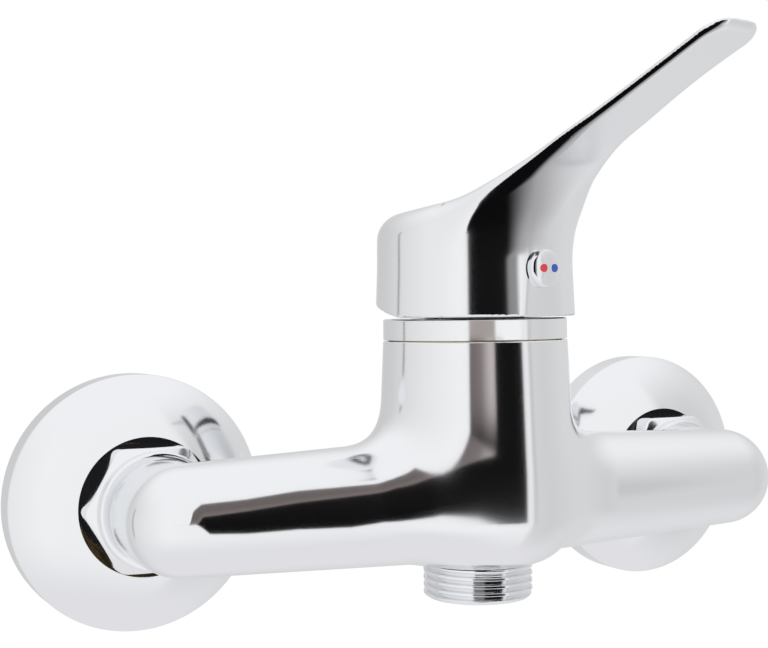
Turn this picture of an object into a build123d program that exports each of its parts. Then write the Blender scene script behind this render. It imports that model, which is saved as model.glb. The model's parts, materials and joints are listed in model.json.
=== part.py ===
"""Wall-mounted single-lever shower mixer, in millimetres.

The origin is the midpoint between the two inlet axes, on the face of the wall. +X is to the right
of a person facing the mixer, +Y goes into the wall and +Z is up.
"""

import os
from math import atan2, cos, radians, sin, sqrt, tan

from build123d import *

# Reach of a cutting shape past the face that it cuts, and how near an edge lies to be picked
margin = 1.0
tolerance = 0.01

# Body casting: a round tower for the cartridge and one arm to each inlet
inlet_spacing = 150.0
body_offset = 41.0
tower_top_radius = 22.3
tower_radius = 23.8
tower_straight_top = 8.0
tower_top = 38.2
tower_bottom = -15.6
tower_round = 12.0
arm_root_radius = 15.4
arm_end_radius = 12.5
arm_blend = 8.0
leg_back = 26.3
leg_round = 3.0
waterway_radius = 6.5
waterway_end = 9.0
tail_radius = 9.9

# Wall unions: eccentric connectors with a short pipe thread in the wall and a larger one in front
wall_thread_radius = 10.48
wall_thread_length = 16.0
wall_thread_bore = 7.0
union_offset = 10.0
union_thread_radius = 13.22
union_bore = 9.0
union_front = 18.0
union_block_near = 1.0
union_block_depth = 4.0
union_back_web = 1.2
union_bore_overlap = 1.3
union_block_radius = 14.0
union_tail_block_radius = 12.0
thread_chamfer = 1.0

# Union nuts, their washers, strainers and retaining rings
nut_across_flats = 29.0
nut_corner_radius = 16.2
nut_back = 9.5
nut_hex_end = 22.8
nut_front = 25.6
nut_collar_radius = 13.8
nut_thread_clearance = 0.08
nut_chamfer_angle = 30.0
nut_front_chamfer = 0.6
washer_thickness = 2.0
washer_outer_radius = 12.9
washer_inner_radius = 8.0
strainer_radius = 8.7
strainer_depth = 5.0
strainer_wall = 0.5
strainer_hole_radius = 0.9
strainer_hole_pitch = 3.2
strainer_hole_rows = 5
snap_ring_thickness = 1.2
snap_ring_outer_radius = 12.6
snap_ring_groove = 0.8
snap_ring_mouth = 6.0
snap_ring_play = 0.1
snap_ring_setback = 1.2
tail_clearance = 0.2

# Escutcheons: pressed covers that hide the wall unions
escutcheon_radius = 31.0
escutcheon_skirt = 7.6
escutcheon_depth = 16.2
escutcheon_wall = 0.9
escutcheon_dome_radius = 30.0
escutcheon_edge = 1.1
escutcheon_clearance = 0.35

# Cartridge, thirty-five millimetres in diameter
cartridge_radius = 17.5
cartridge_clearance = 0.3
chamber_floor = 9.0
seal_proud = 0.5
base_thickness = 3.8
port_radius = 3.2
port_circle = 9.6
port_angle = 28.0
outlet_port_radius = 4.2
outlet_port_reach = 3.8
port_seal_wall = 1.1
port_seal_depth = 1.0
seal_clearance = 0.05
peg_radius = 1.5
peg_length = 2.0
peg_circle = 13.6
peg_clearance = 0.1
fixed_disc_radius = 14.2
fixed_disc_thickness = 3.6
disc_gap = 0.1
moving_disc_radius = 10.6
moving_disc_thickness = 3.8
mixing_pocket_depth = 2.4
mixing_pocket_radius = 4.0
mixing_pocket_width = 15.0
mixing_pocket_reach = -2.6
carrier_radius = 10.6
carrier_thickness = 5.8
carrier_rail_width = 12.0
carrier_rail_length = 15.0
carrier_rail_height = 2.0
carrier_pocket_play = 0.6
housing_shoulder = 30.0
housing_neck_radius = 15.8
housing_top = 41.5
rotor_play = 0.2
rotor_clearance = 0.3
rotor_flange_radius = 14.3
rotor_flange_thickness = 4.4
rotor_neck_radius = 12.0
rotor_top = 47.4
rotor_slot_clearance = 0.25

# Lever pin and spindle
pivot_height = 44.0
ball_height = 24.8
ball_radius = 3.0
ball_offset = 2.5
ball_clearance = 0.1
lever_pin_radius = 1.5
lever_pin_length = 22.0
pin_clearance = 0.05
spindle_width = 7.0
spindle_top_reach = 16.5
spindle_waist_width = 4.4
spindle_waist_rise = 6.0

# Retaining nut, trim ring and the seal between them
retaining_thread_radius = 19.8
retaining_thread_clearance = 0.1
retaining_seat_gap = 0.2
retaining_collar_radius = 20.6
retaining_collar_height = 2.6
retaining_hex_flats = 35.0
retaining_hex_height = 1.2
retaining_bore_clearance = 0.2
trim_ring_radius = 22.25
trim_ring_wall = 1.1
trim_ring_gap = 0.05
trim_ring_height = 5.2
trim_ring_lip_radius = 16.4
trim_seal_radius = 0.9
trim_seal_groove = 1.4
trim_ring_edge = 0.3

# Handle: a cup over the cartridge with a flat lever that rises from its front
handle_turn = 12.0
handle_radius = 24.2
handle_gap = 0.4
handle_wall = 1.6
handle_face_depth = 0.7
handle_face_top = 53.0
handle_back_top = 68.6
handle_crown_rise = 2.0
handle_roof = 65.0
handle_bore_taper = 1.8
handle_edge = 0.7
handle_surplus = 4.0
relief_angle = 12.0
nose_half_width = 7.8
lever_bend_reach = 33.0
lever_bend_height = 79.7
lever_tip_reach = 81.5
lever_tip_height = 102.8
lever_rise = 29.5
lever_blend_top = 80.0
lever_corner_radius = 5.5
lever_thickness = 2.2
lever_root_half_width = 9.2
lever_taper = 1.6
flare_radius_low = 2.5
flare_radius_high = 80.0
boss_radius = 8.0
boss_bottom = 50.8
web_width = 12.0
socket_clearance = 0.1

# Index plug with its two temperature dots, and the grub screw behind it
plug_radius = 4.6
plug_seat_depth = 0.7
plug_rim = 2.2
plug_dome = 0.8
plug_shank_radius = 3.2
plug_shank_length = 3.6
plug_clearance = 0.1
plug_edge = 0.3
dot_radius = 0.95
dot_depth = 0.6
dot_height = 0.15
dot_spacing = 3.3
screw_radius = 2.5
screw_length = 7.0
screw_socket_flats = 2.5
screw_socket_depth = 2.8
screw_clearance = 0.05
screw_point_chamfer = 1.2
screw_point_gap = 0.3
screw_headroom = 4.9

# Outlet nipple with its hose thread and a non-return valve inside
outlet_thread_radius = 13.22
outlet_length = 8.4
nipple_plug_radius = 11.0
nipple_plug_length = 6.8
nipple_bore = 8.0
nipple_seal_wall = 1.2
nipple_top_bore = 6.5
nipple_clearance = 0.05
nipple_seal_thickness = 1.0
valve_length = 12.0
valve_clearance = 0.2
valve_bore = 6.0
valve_recess = 0.4
valve_top_thickness = 1.5
valve_seat_radius = 4.0
valve_head_radius = 5.2
valve_head_thickness = 1.6
valve_guide_height = 1.6
valve_guide_bottom = 2.0
valve_guide_radius = 2.6
valve_spoke_width = 1.6
valve_spokes = 3
valve_stem_radius = 1.4
valve_stem_clearance = 0.08
valve_stem_reach = 7.6
valve_seat_gap = 0.1
valve_spring_wire = 0.35
valve_spring_radius = 2.6
valve_spring_turns = 3
valve_seal_radius = 0.62
valve_seal_drop = 3.2
valve_seal_groove = 1.15

# Places that follow from the sizes above
tower_centre = (0, -body_offset, 0)
tower_axis = Axis(tower_centre, (0, 0, 1))
bar_axis = Axis(tower_centre, (1, 0, 0))
half_spacing = inlet_spacing / 2
tail_end = union_front + washer_thickness
ring_near = tail_end + snap_ring_setback
ring_far = ring_near + snap_ring_thickness
nut_shoulder = ring_far + snap_ring_play
union_bore_end = union_block_near + union_back_web
tail_bore_end = union_bore_end + union_bore_overlap
escutcheon_hole = nut_corner_radius + escutcheon_clearance

housing_bore = rotor_flange_radius + rotor_clearance
lip_radius = rotor_neck_radius + rotor_clearance
base_bottom = chamber_floor + seal_proud
disc_bottom = base_bottom + base_thickness
disc_face = disc_bottom + fixed_disc_thickness
moving_bottom = disc_face + disc_gap
carrier_bottom = moving_bottom + moving_disc_thickness
carrier_top = carrier_bottom + carrier_thickness
rotor_bottom = carrier_top + rotor_play
rotor_shoulder = rotor_bottom + rotor_flange_thickness
lip_bottom = rotor_shoulder + rotor_play

turn = radians(handle_turn)
forward = (sin(turn), -cos(turn), 0)
across = (cos(turn), sin(turn), 0)
handle_frame = Plane(origin=tower_centre, x_dir=forward, z_dir=(0, 0, 1))
side_plane = Plane(origin=tower_centre, x_dir=forward, z_dir=(-across[0], -across[1], 0))
handle_axis = Axis(tower_centre, forward)

arm_length = sqrt((pivot_height - ball_height) ** 2 + ball_offset**2)
spindle_waist_top = arm_length - spindle_waist_rise
spindle_swing = spindle_width / 2 + ball_offset
rotor_slot_length = 2 * (spindle_swing + rotor_slot_clearance)
carrier_pocket_floor = ball_height - ball_radius - carrier_pocket_play
spindle_lean = atan2(ball_offset, pivot_height - ball_height)
pivot_point = handle_frame.from_local_coords((0, 0, pivot_height))
spindle_plane = Plane(
    origin=pivot_point,
    x_dir=handle_frame.from_local_coords((cos(spindle_lean), 0, -sin(spindle_lean)))
    - handle_frame.from_local_coords((0, 0, 0)),
    z_dir=handle_frame.from_local_coords((sin(spindle_lean), 0, cos(spindle_lean)))
    - handle_frame.from_local_coords((0, 0, 0)),
)

port_x = port_circle * cos(radians(port_angle))
port_y = port_circle * sin(radians(port_angle))
inlet_ports = ((-port_x, port_y), (port_x, port_y))
outlet_port = (0, -outlet_port_reach)
pegs = ((0, -peg_circle), (0, peg_circle))
retaining_depth = tower_top - housing_shoulder
nipple_top = tower_bottom + nipple_plug_length
retaining_collar_bottom = tower_top + retaining_seat_gap
retaining_hex_bottom = retaining_collar_bottom + retaining_collar_height
trim_seal_height = (retaining_collar_bottom + retaining_hex_bottom) / 2
trim_ring_inner = trim_ring_radius - trim_ring_wall
trim_ring_top = tower_top + trim_ring_height
handle_bottom = trim_ring_top + handle_gap
handle_start = handle_bottom - handle_surplus
handle_face_reach = handle_radius - handle_face_depth
handle_bore = handle_radius - handle_wall
handle_bore_top = handle_bore - handle_bore_taper
outlet_bottom = tower_bottom - outlet_length

# The plug and screw lie on a line across the front of the handle, above the rotor
plug_seat_reach = handle_face_reach - plug_seat_depth
plug_height = rotor_top + screw_headroom + screw_radius
plug_plane = Plane(
    origin=handle_frame.from_local_coords((0, 0, plug_height)), x_dir=(0, 0, -1), z_dir=forward
)
plug_axis = Axis(plug_plane.origin, forward)
plug_front = plug_seat_reach + plug_rim
dome_sphere = (plug_radius**2 + plug_dome**2) / (2 * plug_dome)
plug_dome_middle = (
    plug_front + plug_dome - dome_sphere + sqrt(dome_sphere**2 - (plug_radius / 2) ** 2),
    plug_height + plug_radius / 2,
)
plug_dome_drop = dome_sphere - sqrt(dome_sphere**2 - (dot_spacing / 2) ** 2)
spindle_face = (plug_height - pivot_height) * tan(spindle_lean) + spindle_width / 2 / cos(spindle_lean)
screw_start = spindle_face + screw_point_gap

# The non-return valve's stack, from its top down
valve_radius = nipple_bore - valve_clearance
valve_bottom = outlet_bottom + valve_recess
valve_top = valve_bottom + valve_length
valve_seat = valve_top - valve_top_thickness
valve_seal_height = valve_top - valve_seal_drop
poppet_top = valve_seat - valve_seat_gap
poppet_end = poppet_top - valve_stem_reach
valve_guide_low = valve_bottom + valve_guide_bottom
spring_bottom = valve_guide_low + valve_guide_height + valve_spring_wire
spring_top = poppet_top - valve_head_thickness - valve_spring_wire

# The lever's side outline: the crown line, an arc up to the bend and a long flat arc to the tip
crown_slope = tan(radians(handle_crown_rise))
neck_slope = tan(radians((handle_crown_rise + lever_rise) / 2))
crown_reach = (
    lever_bend_height - handle_back_top - handle_radius * crown_slope - lever_bend_reach * neck_slope
) / (crown_slope - neck_slope)
crown_height = handle_back_top + (crown_reach + handle_radius) * crown_slope
rise = radians(lever_rise)
rise_direction = (cos(rise), sin(rise))
tip_rise = 2 * atan2(
    lever_tip_height - lever_bend_height, lever_tip_reach - lever_bend_reach
) - rise
bend_point = (lever_bend_reach, lever_bend_height)
tip_point = (lever_tip_reach, lever_tip_height)
lower_bend_point = (
    lever_bend_reach + lever_thickness * sin(rise),
    lever_bend_height - lever_thickness * cos(rise),
)
lower_tip_point = (
    lever_tip_reach + lever_thickness * sin(tip_rise),
    lever_tip_height - lever_thickness * cos(tip_rise),
)

os.makedirs("parts", exist_ok=True)


def save(builder, label):
    """Name a finished piece and write its STEP file."""
    builder.part.label = label
    export_step(builder.part, f"parts/{label}.step")


def level(height):
    """The horizontal plane at this height, centred on the tower."""
    return Plane(origin=(0, -body_offset, height))


def turned_level(height):
    """The horizontal plane at this height, turned with the handle."""
    return handle_frame.offset(height)


def ring(inner, outer, low, high):
    """Draw the half section of a plain ring: radius along X, height along Y."""
    with Locations(((inner + outer) / 2, (low + high) / 2)):
        Rectangle(outer - inner, high - low)


# Body casting
with BuildPart() as body_casting:
    with BuildSketch(Plane.XZ.offset(body_offset)):
        with BuildLine():
            flat_radius = tower_radius - tower_round
            Polyline((0, tower_top), (0, tower_bottom), (flat_radius, tower_bottom))
            RadiusArc(
                (flat_radius, tower_bottom), (tower_radius, tower_bottom + tower_round), -tower_round
            )
            Polyline(
                (tower_radius, tower_bottom + tower_round),
                (tower_radius, tower_straight_top),
                (tower_top_radius, tower_top),
                (0, tower_top),
            )
        make_face()
    revolve(axis=tower_axis)
    with BuildSketch(Plane.XZ.offset(body_offset)):
        with BuildLine():
            Polyline((0, 0), (0, arm_root_radius), (half_spacing, arm_end_radius))
            RadiusArc(
                (half_spacing, arm_end_radius), (half_spacing + arm_end_radius, 0), arm_end_radius
            )
            Line((half_spacing + arm_end_radius, 0), (0, 0))
        make_face()
        mirror(about=Plane.YZ)
    revolve(axis=bar_axis)
    seams = body_casting.edges(Select.LAST).filter_by(
        lambda edge: abs(edge.center().X) < tower_radius
        and edge.geom_type not in (GeomType.CIRCLE, GeomType.LINE)
    )
    fillet(seams, arm_blend)

    # Legs back to the unions, each with a tail that takes the nut's retaining ring
    for x in (-half_spacing, half_spacing):
        with BuildSketch(Plane.XZ.offset(leg_back)):
            with Locations((x, 0)):
                Circle(arm_end_radius)
        extrude(amount=body_offset - leg_back)
    rims = body_casting.edges().filter_by(GeomType.CIRCLE).filter_by_position(
        Axis.Y, -leg_back - tolerance, -leg_back + tolerance
    )
    fillet(rims, leg_round)
    for x in (-half_spacing, half_spacing):
        with BuildSketch(Plane.XZ.offset(tail_end)):
            with Locations((x, 0)):
                Circle(tail_radius)
        extrude(amount=leg_back + leg_round - tail_end)
        with BuildSketch(Plane.XZ.offset(ring_near)):
            with Locations((x, 0)):
                Circle(tail_radius)
                Circle(tail_radius - snap_ring_groove, mode=Mode.SUBTRACT)
        extrude(amount=snap_ring_thickness, mode=Mode.SUBTRACT)

    # Waterways from the unions to the ports under the cartridge
    for sign in (-1, 1):
        x = sign * half_spacing
        with BuildSketch(Plane.XZ.offset(tail_end)):
            with Locations((x, 0)):
                Circle(waterway_radius)
        extrude(amount=body_offset - tail_end, mode=Mode.SUBTRACT)
        with Locations((x, -body_offset, 0)):
            Sphere(waterway_radius, mode=Mode.SUBTRACT)
        with BuildSketch(Plane.YZ.offset(x)):
            with Locations((-body_offset, 0)):
                Circle(waterway_radius)
        extrude(amount=-sign * (half_spacing - waterway_end), mode=Mode.SUBTRACT)
    with BuildSketch(level(0)):
        with Locations(*inlet_ports):
            Circle(port_radius)
    extrude(amount=chamber_floor, mode=Mode.SUBTRACT)

    # Cartridge chamber, with holes in its floor for the cartridge's two pegs
    with BuildSketch(level(chamber_floor)):
        Circle(cartridge_radius + cartridge_clearance)
    extrude(amount=tower_top - chamber_floor, mode=Mode.SUBTRACT)
    with BuildSketch(level(tower_top)):
        Circle(retaining_thread_radius + retaining_thread_clearance)
    extrude(amount=-retaining_depth, mode=Mode.SUBTRACT)
    with BuildSketch(level(chamber_floor)):
        with Locations(*pegs):
            Circle(peg_radius + peg_clearance)
    extrude(amount=-peg_length, mode=Mode.SUBTRACT)

    # Outlet passage and the socket for the nipple
    with BuildSketch(level(chamber_floor)):
        with Locations(outlet_port):
            Circle(outlet_port_radius)
    extrude(amount=nipple_top - chamber_floor, mode=Mode.SUBTRACT)
    with BuildSketch(level(tower_bottom)):
        Circle(nipple_plug_radius + nipple_clearance)
    extrude(amount=nipple_plug_length, mode=Mode.SUBTRACT)
    with BuildSketch(level(tower_bottom)):
        Circle(nipple_plug_radius + nipple_clearance + nipple_seal_wall)
    extrude(amount=nipple_seal_thickness, mode=Mode.SUBTRACT)
save(body_casting, "body_casting")

# Retaining rings: open rings in the tails' grooves, which carry the union nuts
with BuildPart() as union_snap_rings:
    for x in (-half_spacing, half_spacing):
        with BuildSketch(Plane.XZ.offset(ring_near)):
            with Locations((x, 0)):
                Circle(snap_ring_outer_radius)
                Circle(tail_radius - snap_ring_groove, mode=Mode.SUBTRACT)
            with Locations((x, snap_ring_outer_radius)):
                Rectangle(snap_ring_mouth, 2 * snap_ring_outer_radius, mode=Mode.SUBTRACT)
        extrude(amount=snap_ring_thickness)
save(union_snap_rings, "union_snap_rings")

# The two wall connections
for side, sign in (("left", -1), ("right", 1)):
    x = sign * half_spacing
    inlet_axis = Axis((x, 0, 0), (0, -1, 0))
    inlet_plane = Plane(origin=(x, 0, 0), x_dir=(1, 0, 0), z_dir=(0, -1, 0))
    section_plane = Plane(origin=(x, 0, 0), x_dir=(1, 0, 0), z_dir=(0, 0, -1))

    # Eccentric union: the wall thread sits lower than the thread that the nut takes
    with BuildPart() as wall_union:
        with BuildSketch(inlet_plane.offset(union_block_near)):
            Circle(union_block_radius)
            with Locations((0, -union_offset)):
                Circle(union_tail_block_radius)
            make_hull()
        extrude(amount=union_block_depth)
        with BuildSketch(inlet_plane.offset(union_block_near)):
            Circle(union_thread_radius)
        extrude(amount=union_front - union_block_near)
        with BuildSketch(inlet_plane.offset(union_block_near)):
            with Locations((0, -union_offset)):
                Circle(wall_thread_radius)
        extrude(amount=-wall_thread_length - union_block_near)
        thread_ends = wall_union.edges().filter_by(GeomType.CIRCLE).group_by(Axis.Y)
        chamfer(thread_ends[0] + thread_ends[-1], thread_chamfer)
        with BuildSketch(inlet_plane.offset(union_front)):
            Circle(union_bore)
        extrude(amount=union_bore_end - union_front, mode=Mode.SUBTRACT)
        with BuildSketch(inlet_plane.offset(-wall_thread_length)):
            with Locations((0, -union_offset)):
                Circle(wall_thread_bore)
        extrude(amount=wall_thread_length + tail_bore_end, mode=Mode.SUBTRACT)
    save(wall_union, f"{side}_wall_union")

    # Union nut: a hexagon with turned corners, a round collar in front and a shoulder inside
    with BuildPart() as union_nut:
        with BuildSketch(inlet_plane.offset(nut_back)):
            RegularPolygon(nut_across_flats / 2, 6, major_radius=False)
        extrude(amount=nut_hex_end - nut_back)
        with BuildSketch(section_plane):
            with BuildLine():
                slope = tan(radians(nut_chamfer_angle))
                drop = (nut_corner_radius - nut_collar_radius) * slope
                Polyline(
                    (0, nut_back),
                    (nut_corner_radius, nut_back),
                    (nut_corner_radius, nut_hex_end - drop),
                    (nut_collar_radius, nut_hex_end),
                    (0, nut_hex_end),
                    close=True,
                )
            make_face()
        revolve(axis=inlet_axis, mode=Mode.INTERSECT)
        with BuildSketch(inlet_plane.offset(nut_hex_end)):
            Circle(nut_collar_radius)
        extrude(amount=nut_front - nut_hex_end)
        chamfer(union_nut.edges().group_by(Axis.Y)[0], nut_front_chamfer)
        with BuildSketch(inlet_plane.offset(nut_back)):
            Circle(union_thread_radius + nut_thread_clearance)
        extrude(amount=nut_shoulder - nut_back, mode=Mode.SUBTRACT)
        with BuildSketch(inlet_plane.offset(nut_shoulder)):
            Circle(tail_radius + tail_clearance)
        extrude(amount=nut_front - nut_shoulder, mode=Mode.SUBTRACT)
    save(union_nut, f"{side}_union_nut")

    # Washer between the union and the tail
    with BuildPart() as inlet_washer:
        with BuildSketch(inlet_plane.offset(union_front)):
            Circle(washer_outer_radius)
            Circle(washer_inner_radius, mode=Mode.SUBTRACT)
        extrude(amount=washer_thickness)
    save(inlet_washer, f"{side}_inlet_washer")

    # Strainer: a shallow pierced cup whose mouth sits in the union's bore under the washer
    with BuildPart() as strainer:
        with BuildSketch(inlet_plane.offset(union_front - strainer_depth)):
            Circle(strainer_radius)
        extrude(amount=strainer_depth)
        with BuildSketch(inlet_plane.offset(union_front - strainer_depth + strainer_wall)):
            Circle(strainer_radius - strainer_wall)
        extrude(amount=strainer_depth, mode=Mode.SUBTRACT)
        with BuildSketch(inlet_plane.offset(union_front - strainer_depth)):
            with HexLocations(strainer_hole_pitch / 2, strainer_hole_rows, strainer_hole_rows):
                Circle(strainer_hole_radius)
            Circle(strainer_radius - 2 * strainer_wall, mode=Mode.INTERSECT)
        extrude(amount=strainer_wall, mode=Mode.SUBTRACT)
    save(strainer, f"{side}_strainer")

    # Escutcheon: a spun cover with a straight skirt, a domed front and a hole for the nut
    with BuildPart() as escutcheon:
        with BuildSketch(section_plane):
            with BuildLine():
                outer = Polyline((escutcheon_hole, 0), (escutcheon_radius, 0),
                                 (escutcheon_radius, escutcheon_skirt))
                dome = RadiusArc(outer @ 1, (escutcheon_hole, escutcheon_depth), -escutcheon_dome_radius)
                Line(dome @ 1, outer @ 0)
            make_face()
        revolve(axis=inlet_axis)
        shoulder = escutcheon.edges().filter_by(GeomType.CIRCLE).filter_by_position(
            Axis.Y, -escutcheon_skirt - tolerance, -escutcheon_skirt + tolerance
        )
        fillet(shoulder, escutcheon_edge)
        with BuildSketch(section_plane):
            with BuildLine():
                inner = Polyline((0, 0), (escutcheon_radius - escutcheon_wall, 0),
                                 (escutcheon_radius - escutcheon_wall, escutcheon_skirt))
                dome = RadiusArc(inner @ 1, (escutcheon_hole, escutcheon_depth - escutcheon_wall),
                                 -escutcheon_dome_radius)
                Polyline(dome @ 1, (0, escutcheon_depth - escutcheon_wall), (0, 0))
            make_face()
        revolve(axis=inlet_axis, mode=Mode.SUBTRACT)
    save(escutcheon, f"{side}_escutcheon")

# Cartridge base: a plate with two inlet ports, one outlet port and two pegs below
with BuildPart() as cartridge_base:
    with BuildSketch(level(base_bottom)):
        Circle(cartridge_radius)
    extrude(amount=base_thickness)
    with BuildSketch(level(base_bottom)):
        with Locations(*pegs):
            Circle(peg_radius)
    extrude(amount=-peg_length)
    with BuildSketch(level(base_bottom)):
        with Locations(*inlet_ports):
            Circle(port_radius)
        with Locations(outlet_port):
            Circle(outlet_port_radius)
    extrude(amount=base_thickness, mode=Mode.SUBTRACT)
    with BuildSketch(level(base_bottom)):
        with Locations(*inlet_ports):
            Circle(port_radius + port_seal_wall + seal_clearance)
        with Locations(outlet_port):
            Circle(outlet_port_radius + port_seal_wall + seal_clearance)
    extrude(amount=port_seal_depth, mode=Mode.SUBTRACT)
save(cartridge_base, "cartridge_base")

# Base seals: one ring for each port, standing a little proud of the base
with BuildPart() as base_seals:
    with BuildSketch(level(chamber_floor)):
        with Locations(*inlet_ports):
            Circle(port_radius + port_seal_wall)
        with Locations(outlet_port):
            Circle(outlet_port_radius + port_seal_wall)
        with Locations(*inlet_ports):
            Circle(port_radius, mode=Mode.SUBTRACT)
        with Locations(outlet_port):
            Circle(outlet_port_radius, mode=Mode.SUBTRACT)
    extrude(amount=seal_proud + port_seal_depth)
save(base_seals, "base_seals")

# Fixed ceramic disc with the same three ports
with BuildPart() as fixed_disc:
    with BuildSketch(level(disc_bottom)):
        Circle(fixed_disc_radius)
        with Locations(*inlet_ports):
            Circle(port_radius, mode=Mode.SUBTRACT)
        with Locations(outlet_port):
            Circle(outlet_port_radius, mode=Mode.SUBTRACT)
    extrude(amount=fixed_disc_thickness)
save(fixed_disc, "fixed_disc")

# Moving ceramic disc: a mixing pocket underneath, kept clear of the inlets when closed
with BuildPart() as moving_disc:
    with BuildSketch(turned_level(moving_bottom)):
        with Locations((-ball_offset, 0)):
            Circle(moving_disc_radius)
    extrude(amount=moving_disc_thickness)
    with BuildSketch(turned_level(moving_bottom)):
        with Locations((mixing_pocket_reach - ball_offset, 0)):
            SlotCenterToCenter(mixing_pocket_width - 2 * mixing_pocket_radius,
                               2 * mixing_pocket_radius, rotation=90)
    extrude(amount=mixing_pocket_depth, mode=Mode.SUBTRACT)
save(moving_disc, "moving_disc")

# Disc carrier: drives the moving disc, guided by a rail and pushed by the spindle's ball
with BuildPart() as disc_carrier:
    with BuildSketch(turned_level(carrier_bottom)):
        with Locations((-ball_offset, 0)):
            Circle(carrier_radius)
    extrude(amount=carrier_thickness)
    with BuildSketch(turned_level(carrier_top)):
        with Locations((-ball_offset, 0)):
            Rectangle(carrier_rail_length, carrier_rail_width)
    extrude(amount=carrier_rail_height)
    with BuildSketch(turned_level(carrier_top + carrier_rail_height)):
        with Locations((-ball_offset, 0)):
            Rectangle(2 * (ball_radius + ball_clearance), spindle_width + 2 * rotor_slot_clearance)
    extrude(amount=carrier_pocket_floor - carrier_top - carrier_rail_height, mode=Mode.SUBTRACT)
save(disc_carrier, "disc_carrier")

# Cartridge housing: holds the stack together and traps the rotor under its lip
with BuildPart() as cartridge_housing:
    with BuildSketch(Plane.XZ.offset(body_offset)):
        ring(housing_bore, cartridge_radius, disc_bottom, housing_shoulder)
        ring(housing_bore, housing_neck_radius, housing_shoulder, housing_top)
        ring(lip_radius, housing_neck_radius, lip_bottom, housing_top)
    revolve(axis=tower_axis)
save(cartridge_housing, "cartridge_housing")

# Rotor: turns in the housing with the handle, carries the lever pin and guides the carrier
with BuildPart() as rotor:
    with BuildSketch(turned_level(rotor_bottom)):
        Circle(rotor_flange_radius)
    extrude(amount=rotor_flange_thickness)
    with BuildSketch(turned_level(rotor_shoulder)):
        Circle(rotor_neck_radius)
    extrude(amount=rotor_top - rotor_shoulder)
    with BuildSketch(turned_level(rotor_bottom)):
        Rectangle(2 * rotor_flange_radius, carrier_rail_width + rotor_play)
    extrude(amount=carrier_rail_height + rotor_play, mode=Mode.SUBTRACT)
    with BuildSketch(turned_level(rotor_bottom)):
        Rectangle(rotor_slot_length, spindle_width + 2 * rotor_slot_clearance)
    extrude(amount=rotor_top - rotor_bottom, mode=Mode.SUBTRACT)
    with BuildSketch(side_plane):
        with Locations((0, pivot_height)):
            Circle(lever_pin_radius)
    extrude(amount=rotor_flange_radius, both=True, mode=Mode.SUBTRACT)
save(rotor, "rotor")

# Lever pin across the rotor
with BuildPart() as lever_pin:
    with BuildSketch(side_plane):
        with Locations((0, pivot_height)):
            Circle(lever_pin_radius)
    extrude(amount=lever_pin_length / 2, both=True)
save(lever_pin, "lever_pin")

# Spindle: a square stem above the pin, a waist and a rounded end in the carrier below it
with BuildPart() as spindle:
    with BuildSketch(spindle_plane.offset(-spindle_waist_top)):
        Rectangle(spindle_width, spindle_width)
    extrude(amount=spindle_waist_top + spindle_top_reach)
    with BuildSketch(spindle_plane.offset(-arm_length)):
        Rectangle(spindle_waist_width, spindle_width)
    extrude(amount=arm_length - spindle_waist_top)
    with BuildSketch(side_plane):
        with Locations((-ball_offset, ball_height)):
            Circle(ball_radius)
    extrude(amount=spindle_width / 2, both=True)
    with BuildSketch(side_plane):
        with Locations((0, pivot_height)):
            Circle(lever_pin_radius + pin_clearance)
    extrude(amount=spindle_width, both=True, mode=Mode.SUBTRACT)
save(spindle, "spindle")

# Retaining nut: threaded into the tower, it presses the cartridge down by its shoulder
with BuildPart() as retaining_nut:
    with BuildSketch(Plane.XZ.offset(body_offset)):
        ring(0, retaining_thread_radius, housing_shoulder, retaining_collar_bottom)
        ring(0, retaining_collar_radius, retaining_collar_bottom, retaining_hex_bottom)
        with Locations((retaining_collar_radius, trim_seal_height)):
            Rectangle(2 * trim_seal_groove, 2 * trim_seal_radius, mode=Mode.SUBTRACT)
    revolve(axis=tower_axis)
    with BuildSketch(level(retaining_hex_bottom)):
        RegularPolygon(retaining_hex_flats / 2, 6, major_radius=False)
    extrude(amount=retaining_hex_height)
    with BuildSketch(level(housing_shoulder)):
        Circle(housing_neck_radius + retaining_bore_clearance)
    extrude(amount=retaining_hex_bottom + retaining_hex_height - housing_shoulder, mode=Mode.SUBTRACT)
save(retaining_nut, "retaining_nut")

# Seal that holds the trim ring on the retaining nut
with BuildPart() as trim_ring_seal:
    with BuildSketch(Plane.XZ.offset(body_offset)):
        with Locations((trim_ring_inner - trim_ring_gap - trim_seal_radius, trim_seal_height)):
            Circle(trim_seal_radius)
    revolve(axis=tower_axis)
save(trim_ring_seal, "trim_ring_seal")

# Trim ring: the bright band between the casting and the handle
with BuildPart() as trim_ring:
    with BuildSketch(Plane.XZ.offset(body_offset)):
        ring(trim_ring_inner, trim_ring_radius, tower_top, trim_ring_top)
        ring(trim_ring_lip_radius, trim_ring_radius, trim_ring_top - trim_ring_wall, trim_ring_top)
    revolve(axis=tower_axis)
    rim = trim_ring.edges().filter_by(GeomType.CIRCLE).group_by(Axis.Z)[-1].sort_by(SortBy.RADIUS)[-1]
    fillet(rim, trim_ring_edge)
save(trim_ring, "trim_ring")


def draw_plan(plan, half_width, flare):
    """Draw the handle from above: a round cup, and a lever that flares into it."""
    Circle(handle_radius)
    with BuildLine() as nose:
        Polyline(
            (0, half_width),
            (lever_tip_reach, half_width - lever_taper),
            (lever_tip_reach, lever_taper - half_width),
            (0, -half_width),
            close=True,
        )
    make_face(nose.edges())
    fillet(plan.vertices().sort_by(Axis.X)[-2:], lever_corner_radius)
    fillet(plan.vertices().sort_by(Axis.X)[:2], flare)


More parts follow.
